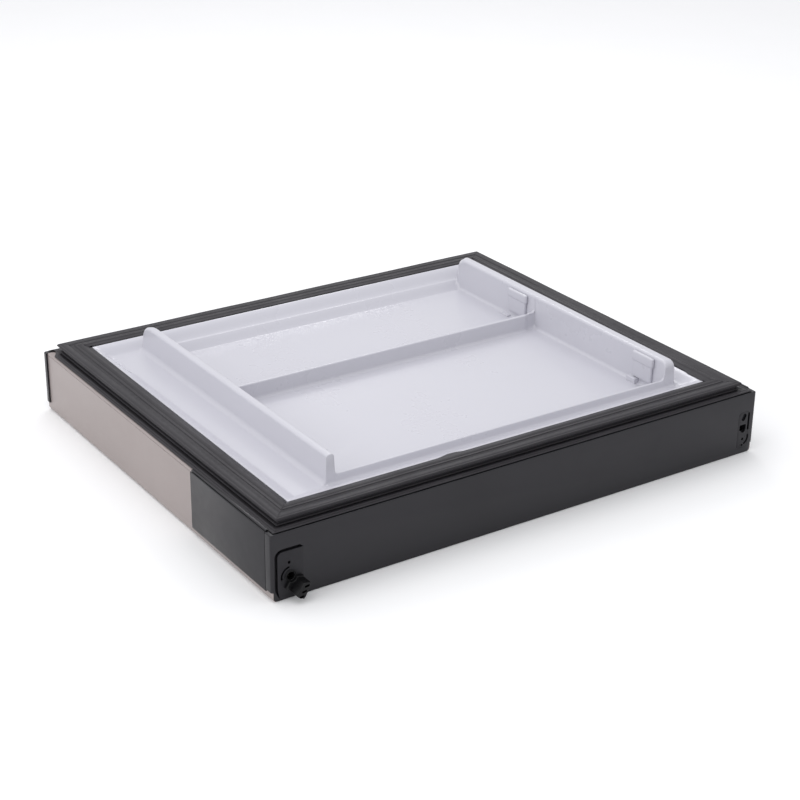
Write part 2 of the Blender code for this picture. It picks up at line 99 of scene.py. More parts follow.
# Heights and lines of the liner
FLOOR = 60.5 * MM
LEFT_WALL = (-203.5 * MM, -193 * MM, LINER_TOP, 1.2 * MM)
RIGHT_WALL = (221.5 * MM, 235.5 * MM, LINER_TOP - 2 * MM, 7 * MM)
WALL_ENDS = (-192.5 * MM, 199.5 * MM)
WALL_END_LEAN = 11 * MM
NEAR_WALL = (-192.5 * MM, -188 * MM, 78.5 * MM)
RIDGE = (33.5 * MM, 39.5 * MM, 79.5 * MM)
SLOPE = (184.5 * MM, 195 * MM)
RIM = (39.6 * MM, 58 * MM, 7 * MM)
RIM_DROP = 0.4 * MM
OUTER_COVE = 6 * MM
INNER_COVE = 4 * MM
END_COVE = 3 * MM
CREST_ROUND = 3 * MM
RIDGE_ROUND = 1.5 * MM
NEAR_ROUND = 1.2 * MM
WALL_REACH = 25 * MM
LUGS = (
    (-175.5 * MM, -140.5 * MM, 67 * MM, 97 * MM, -151.5 * MM),
    (49 * MM, 86 * MM, 68 * MM, 96 * MM, 79.5 * MM),
)
LUG_FOOT = 14 * MM

RETURN_DEPTH = 10 * MM
RETURN_BOTTOM = 10 * MM
CAP_DEPTH = 14 * MM
CAP_PLATE = 4 * MM
FAR_RETURN = 6.5 * MM
SEAT_DEPTH = 3.4 * MM
SPARE_X = HALF_X - 13.6 * MM
# The blank insert's round holes: distance from the skin's side, height and radius, in millimetres
SPARE_ROUNDS = (
    (-12.8, 28, 3.2), (-13.5, 41.4, 2.7), (-12.1, 44.4, 2.7), (-12.5, 17.2, 1.6), (-12.6, 9.9, 1.4),
)
PIN_BORE = 4 * MM


def length_property(name, description, value):
    return FloatProperty(name=name, description=description, default=value, unit="LENGTH", precision=4)


def colour_property(name, description, value):
    return FloatVectorProperty(
        name=name, description=description, default=value, size=3, subtype="COLOR", min=0, max=1
    )


class FreezerDoorSizes(bpy.types.PropertyGroup):
    sheet: length_property("Skin Sheet", "Thickness of the steel skin", 0.6 * MM)
    bend: length_property("Skin Bend", "Radius of the skin's lower bends", 4 * MM)
    hem: length_property("Hem", "Width of the skin's folded edge", 9 * MM)
    joggle: length_property("Joggle", "Step of the skin beside a side cover", 0.4 * MM)
    cap_edge: length_property("Cap Edge", "Rounding of the end caps", 0.8 * MM)
    cap_corner: length_property("Cap Corner", "Rounding of the end caps' upright corners", 2.2 * MM)
    liner_sheet: length_property("Liner Sheet", "Thickness of the inner liner", 1.5 * MM)
    draft: length_property("Draft", "Lean of the liner's upright walls", 0.8 * MM)
    groove: length_property("Corner Groove", "Width of the groove round a hinge insert", 3.3 * MM)


class FreezerDoorColours(bpy.types.PropertyGroup):
    steel: colour_property("Steel Front", "Coated steel of the skin", (0.33, 0.285, 0.275))
    cap: colour_property("End Caps", "Moulded caps and side covers", (0.009, 0.009, 0.0105))
    liner: colour_property("Liner", "Glossy inner liner", (0.57, 0.565, 0.615))
    gasket: colour_property("Gasket", "Soft black seal", (0.024, 0.0225, 0.0255))
    acetal: colour_property("Hinge Parts", "Bearings and closer cam", (0.004, 0.004, 0.0045))
    foam: colour_property("Foam", "Insulation", (0.80, 0.68, 0.42))
    zinc: colour_property("Zinc", "Plated steel plates and spring", (0.55, 0.56, 0.58))
    magnet: colour_property("Magnet", "Magnet strips", (0.05, 0.045, 0.04))
    floor: colour_property("Floor", "Studio floor", (0.97, 0.97, 0.97))


def sizes():
    return bpy.context.scene.freezer_door_sizes


def colours():
    return bpy.context.scene.freezer_door_colours


# Shader trees


class Tree:
    """A node tree being built, with short calls for the nodes that it uses most."""

    def __init__(self, tree):
        self.tree = tree

    def add(self, kind, **settings):
        node = self.tree.nodes.new(kind)
        for name, value in settings.items():
            setattr(node, name, value)
        return node

    def put(self, socket, value):
        """Links a socket to another one, or gives it a value."""
        if isinstance(value, bpy.types.NodeSocket):
            self.tree.links.new(value, socket)
        else:
            socket.default_value = value

    def maths(self, operation, first, second=0.0):
        node = self.add("ShaderNodeMath", operation=operation)
        self.put(node.inputs[0], first)
        self.put(node.inputs[1], second)
        return node.outputs[0]

    def spread(self, value, low, high, out_low=0.0, out_high=1.0):
        node = self.add("ShaderNodeMapRange")
        numbers = (value, low, high, out_low, out_high)
        for socket, number in zip(node.inputs, numbers):
            self.put(socket, number)
        return node.outputs["Result"]

    def mix(self, factor, first, second):
        node = self.add("ShaderNodeMix", data_type="RGBA")
        for name, value in (("Factor_Float", factor), ("A_Color", first), ("B_Color", second)):
            self.put(next(item for item in node.inputs if item.identifier == name), value)
        return next(item for item in node.outputs if item.identifier == "Result_Color")

    def noise(self, scale, detail=3.0, stretch=(1, 1, 1)):
        """Noise over the piece's own coordinates."""
        mapping = self.add("ShaderNodeMapping")
        self.put(mapping.inputs["Vector"], self.add("ShaderNodeTexCoord").outputs["Object"])
        self.put(mapping.inputs["Scale"], stretch)
        noise = self.add("ShaderNodeTexNoise")
        self.put(noise.inputs["Vector"], mapping.outputs["Vector"])
        self.put(noise.inputs["Scale"], scale)
        self.put(noise.inputs["Detail"], detail)
        return noise.outputs["Fac"]

    def group(self, name, **values):
        """Places a shared group; a keyword names an input with its spaces as underscores."""
        node = self.add("ShaderNodeGroup", node_tree=bpy.data.node_groups[name])
        for key, value in values.items():
            self.put(node.inputs[key.replace("_", " ")], value)
        return node.outputs


def new_group(name, inputs, outputs):
    """A shader group with named sockets, and its tree, inputs and outputs."""
    made = bpy.data.node_groups.new(name, "ShaderNodeTree")
    for label, kind, value in inputs:
        socket = made.interface.new_socket(name=label, in_out="INPUT", socket_type="NodeSocket" + kind)
        socket.default_value = value
    for label, kind in outputs:
        made.interface.new_socket(name=label, in_out="OUTPUT", socket_type="NodeSocket" + kind)
    tree = Tree(made)
    return tree, tree.add("NodeGroupInput").outputs, tree.add("NodeGroupOutput").inputs


def shade_variation_group():
    """Slow drift of a colour's value over a surface."""
    inputs = (("Color", "Color", (1, 1, 1, 1)), ("Scale", "Float", 8.0), ("Amount", "Float", 0.05))
    tree, given, result = new_group("Shade Variation", inputs, (("Color", "Color"),))
    drift = tree.noise(given["Scale"], 4.0)
    low = tree.maths("SUBTRACT", 1.0, given["Amount"])
    high = tree.maths("ADD", 1.0, given["Amount"])
    node = tree.add("ShaderNodeHueSaturation")
    tree.put(node.inputs["Color"], given["Color"])
    tree.put(node.inputs["Value"], tree.spread(drift, 0.3, 0.7, low, high))
    tree.put(result["Color"], node.outputs["Color"])


def handling_marks_group():
    """Faint smears and rub marks, as changes of roughness."""
    inputs = (("Roughness", "Float", 0.4), ("Scale", "Float", 18.0), ("Amount", "Float", 0.08))
    tree, given, result = new_group("Handling Marks", inputs, (("Roughness", "Float"),))
    smear = tree.noise(given["Scale"], 5.0, (1.0, 0.35, 1.0))
    fine = tree.noise(tree.maths("MULTIPLY", given["Scale"], 6.0), 2.0)
    mask = tree.spread(tree.maths("ADD", smear, tree.maths("MULTIPLY", fine, 0.3)), 0.5, 0.85)
    change = tree.maths("MULTIPLY", tree.maths("SUBTRACT", mask, 0.4), given["Amount"])
    tree.put(result["Roughness"], tree.maths("ADD", given["Roughness"], change))


def moulded_grain_group():
    """The fine grain of a moulded or coated surface, as a height."""
    inputs = (("Scale", "Float", 900.0), ("Softness", "Float", 0.5))
    tree, given, result = new_group("Moulded Grain", inputs, (("Height", "Float"),))
    cells = tree.add("ShaderNodeTexVoronoi", feature="SMOOTH_F1")
    tree.put(cells.inputs["Vector"], tree.add("ShaderNodeTexCoord").outputs["Object"])
    tree.put(cells.inputs["Scale"], given["Scale"])
    tree.put(cells.inputs["Smoothness"], given["Softness"])
    grain = tree.noise(tree.maths("MULTIPLY", given["Scale"], 0.6), 2.0)
    tree.put(result["Height"], tree.maths("ADD", cells.outputs["Distance"], grain))


def edge_wear_group():
    """Lighter rubbed colour along the outer edges of a piece."""
    inputs = (
        ("Color", "Color", (0.5, 0.5, 0.5, 1)),
        ("Worn Color", "Color", (0.8, 0.8, 0.8, 1)),
        ("Radius", "Float", 1.2 * MM),
        ("Amount", "Float", 0.4),
    )
    tree, given, result = new_group("Edge Wear", inputs, (("Color", "Color"),))
    rounded = tree.add("ShaderNodeBevel", samples=4)
    tree.put(rounded.inputs["Radius"], given["Radius"])
    flat = tree.add("ShaderNodeNewGeometry")
    dot = tree.add("ShaderNodeVectorMath", operation="DOT_PRODUCT")
    tree.put(dot.inputs[0], rounded.outputs["Normal"])
    tree.put(dot.inputs[1], flat.outputs["Normal"])
    edge = tree.spread(tree.maths("SUBTRACT", 1.0, dot.outputs["Value"]), 0.02, 0.22)
    patch = tree.spread(tree.noise(55.0, 4.0), 0.38, 0.7)
    mask = tree.maths("MULTIPLY", tree.maths("MULTIPLY", edge, patch), given["Amount"])
    tree.put(result["Color"], tree.mix(mask, given["Color"], given["Worn Color"]))


def settled_dust_group():
    """A thin film of dust on whatever faces up."""
    inputs = (
        ("Color", "Color", (0.5, 0.5, 0.5, 1)),
        ("Dust Color", "Color", (0.55, 0.52, 0.5, 1)),
        ("Amount", "Float", 0.05),
    )
    tree, given, result = new_group("Settled Dust", inputs, (("Color", "Color"),))
    split = tree.add("ShaderNodeSeparateXYZ")
    tree.put(split.inputs[0], tree.add("ShaderNodeNewGeometry").outputs["Normal"])
    up = tree.spread(split.outputs["Z"], 0.3, 1.0)
    film = tree.spread(tree.noise(40.0, 6.0), 0.35, 0.75, 0.4, 1.0)
    amount = tree.maths("MULTIPLY", tree.maths("MULTIPLY", up, film), given["Amount"])
    tree.put(result["Color"], tree.mix(amount, given["Color"], given["Dust Color"]))


VIOLET = (0.97, 0.94, 1.0, 1)
STREAK_SCALE = 120.0
RIPPLE_SCALE = 22.0


def finish(name, colour, roughness, drift, marks=None, relief=None, dust=0.0, wear=None, **constants):
    """Makes a material; a keyword names a constant Principled socket with its spaces as underscores."""
    material = bpy.data.materials.new(name)
    material.use_nodes = True
    shader = material.node_tree.nodes["Principled BSDF"].inputs
    tree = Tree(material.node_tree)
    shader["Roughness"].default_value = roughness
    for key, value in constants.items():
        shader[key.replace("_", " ")].default_value = value
    base = (*getattr(colours(), colour), 1)
    made = tree.group("Shade Variation", Color=base, Scale=9.0, Amount=drift)["Color"]
    if dust:
        made = tree.group("Settled Dust", Color=made, Amount=dust)["Color"]
    if wear:
        worn, amount, radius = wear
        settings = {"Worn_Color": (*worn, 1), "Amount": amount, "Radius": radius}
        made = tree.group("Edge Wear", Color=made, **settings)["Color"]
    tree.put(shader["Base Color"], made)
    if marks:
        amount, scale = marks
        rubbed = tree.group("Handling Marks", Roughness=roughness, Scale=scale, Amount=amount)
        tree.put(shader["Roughness"], rubbed["Roughness"])
    if relief:
        height, distance, strength = relief
        node = tree.add("ShaderNodeBump")
        tree.put(node.inputs["Height"], height(tree))
        node.inputs["Distance"].default_value = distance
        node.inputs["Strength"].default_value = strength
        tree.put(shader["Normal"], node.outputs["Normal"])


def grain(scale):
    """A relief of moulded grain at a scale."""
    return lambda tree: tree.group("Moulded Grain", Scale=scale)["Height"]


def ripple(tree):
    return tree.noise(RIPPLE_SCALE, 1.0)


def streaked_grain(tree):
    return tree.maths("ADD", grain(800.0)(tree), tree.noise(STREAK_SCALE, 3.0))


def finishes():
    """Every finish: its colour, roughness and drift, then rub marks, relief, dust and edge wear."""
    finish(
        "coated_steel", "steel", 0.42, 0.02, (0.1, 18.0), (grain(420.0), 0.01 * MM, 0.4),
        wear=((0.75, 0.72, 0.7), 0.35, 0.8 * MM), Metallic=0.25, Coat_Weight=0.15, Coat_Roughness=0.25,
    )
    finish(
        "cap_plastic", "cap", 0.36, 0.08, (0.12, 18.0), (grain(1300.0), 0.02 * MM, 0.35), dust=0.006,
        wear=((0.12, 0.12, 0.125), 0.3, 0.8 * MM), Specular_IOR_Level=0.41, Specular_Tint=VIOLET,
    )
    finish(
        "liner_plastic", "liner", 0.28, 0.008, (0.02, 12.0), (ripple, 0.2 * MM, 0.1),
        Coat_Weight=0.2, Coat_Roughness=0.1,
    )
    finish(
        "gasket_rubber", "gasket", 0.46, 0.12, (0.12, 30.0), (streaked_grain, 0.04 * MM, 0.5), dust=0.012,
        wear=((0.12, 0.12, 0.12), 0.3, 0.7 * MM), Specular_IOR_Level=0.26, Specular_Tint=VIOLET,
    )
    finish(
        "hinge_acetal", "acetal", 0.3, 0.1, (0.15, 60.0), (grain(2200.0), 0.01 * MM, 0.4),
        wear=((0.08, 0.08, 0.085), 0.4, 0.4 * MM), Specular_IOR_Level=0.25,
    )
    finish(
        "insert_plastic", "cap", 0.42, 0.1, (0.12, 50.0), (grain(1500.0), 0.02 * MM, 0.5),
        wear=((0.1, 0.1, 0.105), 0.25, 0.5 * MM), Specular_IOR_Level=0.36, Specular_Tint=VIOLET,
    )
    finish(
        "insulation_foam", "foam", 0.9, 0.12, (0.05, 40.0), (grain(520.0), 0.5 * MM, 0.7),
        Specular_IOR_Level=0.2,
    )
    finish(
        "zinc_plate", "zinc", 0.38, 0.15, (0.2, 60.0), (grain(160.0), 0.03 * MM, 0.5),
        wear=((0.75, 0.76, 0.78), 0.4, 0.5 * MM), Metallic=1.0,
    )
    finish(
        "magnet_strip", "magnet", 0.65, 0.15, (0.1, 60.0), (grain(1800.0), 0.05 * MM, 0.6), dust=0.03,
        Specular_IOR_Level=0.3,
    )
    finish("studio_floor", "floor", 0.65, 0.004, Specular_IOR_Level=0.2)


# Shapes


def verts_in(geometry):
    return [item for item in geometry if isinstance(item, bmesh.types.BMVert)]


def edges_in(geometry):
    return [item for item in geometry if isinstance(item, bmesh.types.BMEdge)]


def arc(centre, radius, start, end, steps):
    for step in range(steps + 1):
        angle = radians(start + (end - start) * step / steps)
        yield centre[0] + radius * cos(angle), centre[1] + radius * sin(angle)


def slab(points, near, far):
    """A flat outline in X and Z, given thickness along Y."""
    shape = bmesh.new()
    face = shape.faces.new([shape.verts.new((x, near, z)) for x, z in points])
    made = bmesh.ops.extrude_face_region(shape, geom=[face])["geom"]
    bmesh.ops.translate(shape, vec=(0, far - near, 0), verts=verts_in(made))
    bmesh.ops.recalc_face_normals(shape, faces=shape.faces)
    return shape


def block(low, high):
    shape = bmesh.new()
    bmesh.ops.create_cube(shape, size=1)
    low, high = Vector(low), Vector(high)
    bmesh.ops.scale(shape, vec=high - low, verts=shape.verts)
    bmesh.ops.translate(shape, vec=(low + high) / 2, verts=shape.verts)
    return shape


def turned(profile, centre, steps=48):
    """A profile of (radius, y) points, turned round an axis along Y through centre."""
    shape = bmesh.new()
    verts = [shape.verts.new((centre.x + radius, y, centre.z)) for radius, y in profile]
    edges = [shape.edges.new(pair) for pair in zip(verts, verts[1:])]
    bmesh.ops.spin(
        shape, geom=verts + edges, cent=(centre.x, 0, centre.z), axis=(0, 1, 0), angle=2 * pi,
        steps=steps, use_merge=True,
    )
    bmesh.ops.remove_doubles(shape, verts=shape.verts, dist=1e-6)
    bmesh.ops.recalc_face_normals(shape, faces=shape.faces)
    return shape


def soften(shape, edges, radius, segments=3):
    bmesh.ops.bevel(
        shape, geom=edges, offset=radius, offset_type="OFFSET", segments=segments, profile=0.5,
        affect="EDGES", clamp_overlap=True, material=-1,
    )


def sweep(loops, ring=False):
    """Joins closed loops of points by extruding the first one; a ring closes on itself."""
    shape = bmesh.new()
    order = [shape.verts.new(point) for point in loops[0]]
    first = edges = [shape.edges.new(pair) for pair in zip(order, order[1:] + order[:1])]
    if not ring:
        shape.faces.new(order)
    for loop in loops[1:]:
        moved = verts_in(bmesh.ops.extrude_edge_only(shape, edges=edges)["geom"])
        follow = {}
        for vert in moved:
            joined = [edge.other_vert(vert) for edge in vert.link_edges]
            follow[next(other for other in joined if other in order)] = vert
        order = [follow[vert] for vert in order]
        for vert, point in zip(order, loop):
            vert.co = point
        edges = [shape.edges.get(pair) for pair in zip(order, order[1:] + order[:1])]
    if ring:
        bmesh.ops.bridge_loops(shape, edges=edges + first)
    else:
        shape.faces.new(order)
    bmesh.ops.recalc_face_normals(shape, faces=shape.faces)
    return shape


def edges_at_y(shape, y):
    return [edge for edge in shape.edges if all(abs(vert.co.y - y) < 1e-6 for vert in edge.verts)]


def band(path, width):
    """The outline of a slot of even width that follows a path of (x, z) points."""
    sides = ([], [])
    points = [Vector(point) for point in path]
    for number, point in enumerate(points):
        before = points[max(number - 1, 0)]
        after = points[min(number + 1, len(points) - 1)]
        along = (after - before).normalized()
        across = Vector((-along.y, along.x)) * width / 2
        sides[0].append(tuple(point + across))
        sides[1].append(tuple(point - across))
    return sides[0] + sides[1][::-1]


def thing(name, shape, material=None):
    """An object made of a finished shape; a cutter has no material."""
    mesh = bpy.data.meshes.new(name)
    shape.to_mesh(mesh)
    shape.free()
    if material:
        mesh.materials.append(bpy.data.materials[material])
    obj = bpy.data.objects.new(name, mesh)
    bpy.context.scene.collection.objects.link(obj)
    return obj


def settle(obj):
    """Applies an object's modifiers to its mesh."""
    bpy.context.view_layer.update()
    graph = bpy.context.evaluated_depsgraph_get()
    mesh = bpy.data.meshes.new_from_object(obj.evaluated_get(graph))
    obj.modifiers.clear()
    obj.data = mesh


def combine(obj, shapes, operation="DIFFERENCE"):
    """Cuts shapes out of an object, or joins them to it."""
    others = [thing("%s_tool_%d" % (obj.name, number), shape) for number, shape in enumerate(shapes)]
    for other in others:
        modifier = obj.modifiers.new(other.name, "BOOLEAN")
        modifier.operation = operation
        modifier.object = other
        modifier.solver = "EXACT"
    settle(obj)
    for other in others:
        bpy.data.objects.remove(other)
    shape = bmesh.new()
    shape.from_mesh(obj.data)
    bmesh.ops.remove_doubles(shape, verts=shape.verts, dist=WELD)
    bmesh.ops.dissolve_degenerate(shape, edges=shape.edges, dist=WELD)
    bmesh.ops.holes_fill(shape, edges=[edge for edge in shape.edges if edge.is_boundary])
    shape.to_mesh(obj.data)
    shape.free()


def hand_over(obj, body, slot, *nodes, sharp=38):
    """Shades a finished piece and gives it to its body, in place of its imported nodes."""
    obj.data.shade_smooth()
    obj.data.set_sharp_from_angle(angle=radians(sharp))
    if nodes:
        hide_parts(*nodes)
    if body:
        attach(obj, body)


# Pieces


def steel_path():
    """The end view of the skin's outer surface, from hem to hem."""
    size = sizes()
    fold = 1.3 * MM
    half = [(HALF_X - size.hem, BODY_TOP)]
    half += arc((HALF_X - fold, BODY_TOP - fold), fold, 90, 0, 4)
    crease = BODY_TOP - 1.9 * MM
    half += [(HALF_X, crease + 0.2 * MM), (HALF_X - 0.5 * MM, crease)]
    half += [(HALF_X - 0.5 * MM, crease - 0.3 * MM), (HALF_X, crease - 0.5 * MM)]
    half += [(HALF_X, BODY_TOP - 6 * MM), (HALF_X, RETURN_BOTTOM - 0.3 * MM)]
    half += arc((HALF_X - size.bend, size.bend), size.bend, 0, -90, 6)
    return half + [(-x, z) for x, z in reversed(half)]


def steel_front():
    """The coated steel skin: a tray with hems, notched for the caps' returns."""
    size = sizes()
    cover_end = COVER_HIGH.y
    end = HALF_Y - 0.3 * MM
    lap = HALF_Y - 2.5 * MM
    near_notch = RETURN_DEPTH + 3 * MM - HALF_Y
    far_notch = HALF_Y - FAR_RETURN - 0.3 * MM
    joggle = (cover_end - 4 * MM, cover_end + 10 * MM)
    stations = (-end, -lap, near_notch, joggle[0] - MM, joggle[0], joggle[1])
    stations += (joggle[1] + 1.5 * MM, far_notch, lap, end)
    shape = bmesh.new()
    verts = [shape.verts.new((x, stations[0], z)) for x, z in steel_path()]
    edges = [shape.edges.new(pair) for pair in zip(verts, verts[1:])]
    for low, high in zip(stations, stations[1:]):
        made = bmesh.ops.extrude_edge_only(shape, edges=edges)["geom"]
        moved = set(verts_in(made))
        edges = [edge for edge in edges_in(made) if set(edge.verts) <= moved]
        bmesh.ops.translate(shape, vec=(0, high - low, 0), verts=list(moved))
    gone = []
    for face in shape.faces:
        middle = face.calc_center_median()
        raised = not near_notch < middle.y < far_notch and middle.z > RETURN_BOTTOM
        lapped = abs(middle.y) > lap and middle.z < 0.1 * MM
        if raised or lapped:
            gone.append(face)
    bmesh.ops.delete(shape, geom=gone, context="FACES")
    for vert in shape.verts:
        in_joggle = joggle[0] - 0.1 * MM < vert.co.y < joggle[1] + 0.1 * MM
        if in_joggle and size.bend < vert.co.z < BODY_TOP - 5 * MM:
            vert.co.x -= size.joggle if vert.co.x > 0 else -size.joggle
    lowest = min(shape.faces, key=lambda face: face.calc_center_median().z)
    bmesh.ops.recalc_face_normals(shape, faces=shape.faces)
    if lowest.normal.z > 0:
        bmesh.ops.reverse_faces(shape, faces=shape.faces)
    skin = thing("steel_front", shape, "coated_steel")
    sheet = skin.modifiers.new("sheet", "SOLIDIFY")
    sheet.thickness = size.sheet
    sheet.offset = -1
    sheet.use_even_offset = True
    settle(skin)
    hand_over(skin, "door", "stainless", "front_skin")


def cap_outline(tuck, edge):
    """The end view of a cap, with its uprights tucked in and its other edges drawn in by edge."""
    inner = HALF_X - sizes().sheet - 0.3 * MM - edge
    low, high = 0.15 * MM + edge, BODY_TOP - edge
    outer = OUTER_X - tuck
    corner, foot, shoulder = (max(radius * MM - edge, 0.1 * MM) for radius in (3.2, 0.9, 1.2))
    half = list(arc((inner - corner, low + corner), corner, -90, 0, 6))
    half += [(inner, RETURN_BOTTOM + edge)]
    half += arc((outer - foot, RETURN_BOTTOM + edge + foot), foot, -90, 0, 3)
    half += arc((outer - shoulder, high - shoulder), shoulder, 0, 90, 4)
    return half + [(-x, z) for x, z in reversed(half)]


def quarter(radius, run):
    """How far a rounded edge draws in at a distance past its start."""
    return radius - sqrt(radius**2 - (radius - run) ** 2) if run < radius else 0.0


def cap_blank(name, side, depth):
    """An end cap with its returns, inner pocket and top groove; side is -1 at the lower end."""
    size = sizes()
    loops = []
    for run in (0, 0.1 * MM, 0.3 * MM, 0.8 * MM, 1.4 * MM, 2.2 * MM, depth):
        points = cap_outline(quarter(size.cap_corner, run), quarter(size.cap_edge, run))
        loops.append([(x, side * (HALF_Y - run), z) for x, z in points])
    cap = thing(name, sweep(loops), "cap_plastic")
    wide = HALF_X - 3.1 * MM
    ends = sorted((side * (HALF_Y - depth + MM), side * (HALF_Y - CAP_DEPTH)))
    tongue = block((-wide, ends[0], 3 * MM), (wide, ends[1], BODY_TOP - 2.9 * MM))
    combine(cap, [tongue], "UNION")
    ends = sorted((side * (HALF_Y - CAP_PLATE), side * (HALF_Y - CAP_DEPTH - 2 * MM)))
    wide = HALF_X - 6 * MM
    pocket = block((-wide, ends[0], 3.9 * MM), (wide, ends[1], BODY_TOP - 3.7 * MM))
    ends = sorted((side * (HALF_Y - 0.9 * MM), side * (HALF_Y - 2.5 * MM)))
    wide = HALF_X - 4 * MM
    groove = block((-wide, ends[0], BODY_TOP - 1.2 * MM), (wide, ends[1], BODY_TOP + MM))
    combine(cap, [pocket, groove])
    return cap


def pin_hole(radius, near, far, x):
    return turned([(0, near), (radius, near), (radius, far), (0, far)], Vector((x, 0, PIN.z)))


def left_seat(grow):
    """The outline of the left hinge insert, or of its seat when grown by the groove's width."""
    edge = -HALF_X + 5.1 * MM - grow
    top = 50.2 * MM + grow
    radius = 5.1 * MM + grow
    right = -HALF_X + 33 * MM
    points = [(edge + 1.7 * MM + grow * 0.9, 2.6 * MM), (edge, 10.9 * MM)]
    points += arc((edge + radius, top - radius), radius, 180, 90, 6)
    points += [(right - 4 * MM, top), (right, 50.3 * MM), (right, 2.6 * MM)]
    return points


def right_seat(grow=0.0):
    """The outline of the plain insert in the right corner."""
    left, right = HALF_X - 20.5 * MM - grow, HALF_X - 5.7 * MM + grow
    low, high = 6.5 * MM - grow, 49.5 * MM + grow
    radius = 4 * MM
    points = list(arc((right - radius, high - radius), radius, 0, 90, 5))
    points += arc((left + radius, high - radius), radius, 90, 180, 5)
    points += arc((left + radius, low + radius), radius, 180, 270, 5)
    points += arc((right - radius, low + radius), radius, 270, 360, 5)
    return points


def spare_grooves(back):
    """Cutters for the straight groove and the hooked one beside the blank insert's holes."""
    upright = [(HALF_X - 5.8 * MM, z * MM) for z in (27, 34, 40.5, 47)]
    hook = list(arc((HALF_X - 13.4 * MM, 18.8 * MM), 8.2 * MM, 18, -68, 8))
    for path, width in ((upright, 2.6 * MM), (hook, 2.4 * MM)):
        yield slab(band(path, width), -HALF_Y - MM, back)


def spare_socket(grow, near, end):
    """The square pocket behind the blank insert's larger hole."""
    centre = (SPARE_X, 30.2 * MM)
    half = 4.4 * MM + grow
    low = (centre[0] - half, near, centre[1] - half)
    return block(low, (centre[0] + half, end, centre[1] + half))


def end_caps():
    """The moulded caps at the door's lower and upper ends."""
    front = -HALF_Y - MM
    seat_back = SEAT_DEPTH - HALF_Y
    lower = cap_blank("lower_end_cap", -1, RETURN_DEPTH)
    combine(lower, [spare_socket(0.5 * MM, 3.6 * MM - HALF_Y, 24 * MM - HALF_Y)], "UNION")
    cutters = [
        slab(left_seat(sizes().groove), front, seat_back),
        slab(right_seat(0.12 * MM), front, seat_back - 1.2 * MM),
        *spare_grooves(seat_back),
        pin_hole(6 * MM, front, CAP_DEPTH + 2 * MM - HALF_Y, PIN.x),
        spare_socket(0, front, 23.2 * MM - HALF_Y),
    ]
    combine(lower, cutters)
    hand_over(lower, "door", "black_cap", "bottom_end_cap")
    upper = cap_blank("upper_end_cap", 1, FAR_RETURN)
    back = HALF_Y + MM
    holes = [pin_hole(6 * MM, HALF_Y - CAP_DEPTH - 2 * MM, back, x) for x in (PIN.x, -PIN.x)]
    combine(upper, holes)
    hand_over(upper, "door", "black_cap", "top_end_cap")


def side_covers():
    """The black covers at the lower end of both long sides, with a raised lip along the top."""
    inner = HALF_X + 0.3 * MM
    edge = COVER_HIGH.x
    top = COVER_HIGH.z
    profile = list(arc((edge - 0.7 * MM, COVER_LOW.z + 0.7 * MM), 0.7 * MM, -90, 0, 3))
    profile += arc((edge - 0.7 * MM, BODY_TOP - 0.7 * MM), 0.7 * MM, 0, 90, 3)
    profile += [(edge - 0.95 * MM, BODY_TOP - 0.9 * MM), (edge - 1.45 * MM, BODY_TOP - 0.9 * MM)]
    profile += arc((edge - 2.1 * MM, top - 0.6 * MM), 0.6 * MM, 0, 90, 3)
    profile += arc((edge - 4 * MM, top - 0.6 * MM), 0.6 * MM, 90, 180, 3)
    lap = BODY_TOP + 0.15 * MM
    profile += [(edge - 4.6 * MM, lap), (inner, lap), (inner, COVER_LOW.z)]
    pieces = ((-1, "cover_left", "left_side_cover"), (1, "cover_right", "right_side_cover"))
    for side, name, node in pieces:
        near = COVER_LOW.y + 0.6 * MM
        shape = slab([(side * x, z) for x, z in profile], near, COVER_HIGH.y)
        ends = edges_at_y(shape, near) + edges_at_y(shape, COVER_HIGH.y)
        soften(shape, ends, 0.2 * MM, 2)
        hand_over(thing(name, shape, "cap_plastic"), "door", "black_cap", node)


def rise(run, height, cove, top):
    """The height of a wall at a distance past its foot: a cove, a leaning face, a round top."""
    cove = min(cove, 0.45 * height)
    top = min(top, 0.5 * height)
    draft = sizes().draft
    if run <= -cove or height <= 0:
        return 0
    if run <= 0:
        return cove - sqrt(max(cove**2 - (run + cove) ** 2, 0))
    if run < draft:
        return cove + (height - top - cove) * run / draft
    if run < draft + top:
        return height - top + sqrt(max(top**2 - (top - run + draft) ** 2, 0))
    return height


def wall_lines(foot, inward, cove, top, steps=5):
    """Where to put the mesh lines across a wall."""
    for step in range(steps + 1):
        angle = pi / 2 * step / steps
        yield foot - inward * cove * (1 - sin(angle))
        yield foot + inward * (sizes().draft + top * (1 - cos(angle)))


def bay_height(y):
    """The liner's height between its side walls."""
    wall_middle = (NEAR_WALL[0] + NEAR_WALL[1]) / 2
    ridge_middle = (RIDGE[0] + RIDGE[1]) / 2
    if y < wall_middle:
        return FLANGE + rise(y - NEAR_WALL[0], NEAR_WALL[2] - FLANGE, END_COVE, NEAR_ROUND)
    if y < (NEAR_WALL[1] + RIDGE[0]) / 2:
        return FLOOR + rise(NEAR_WALL[1] - y, NEAR_WALL[2] - FLOOR, INNER_COVE, NEAR_ROUND)
    if y < ridge_middle:
        return FLOOR + rise(y - RIDGE[0], RIDGE[2] - FLOOR, INNER_COVE, RIDGE_ROUND)
    if y < (RIDGE[1] + SLOPE[0]) / 2:
        return FLOOR + rise(RIDGE[1] - y, RIDGE[2] - FLOOR, INNER_COVE, RIDGE_ROUND)
    share = min(max((y - SLOPE[0]) / (SLOPE[1] - SLOPE[0]), 0), 1)
    soft = 0.12
    eased = share - soft * sin(2 * pi * share) / (2 * pi)
    return FLOOR + (FLANGE - FLOOR) * eased


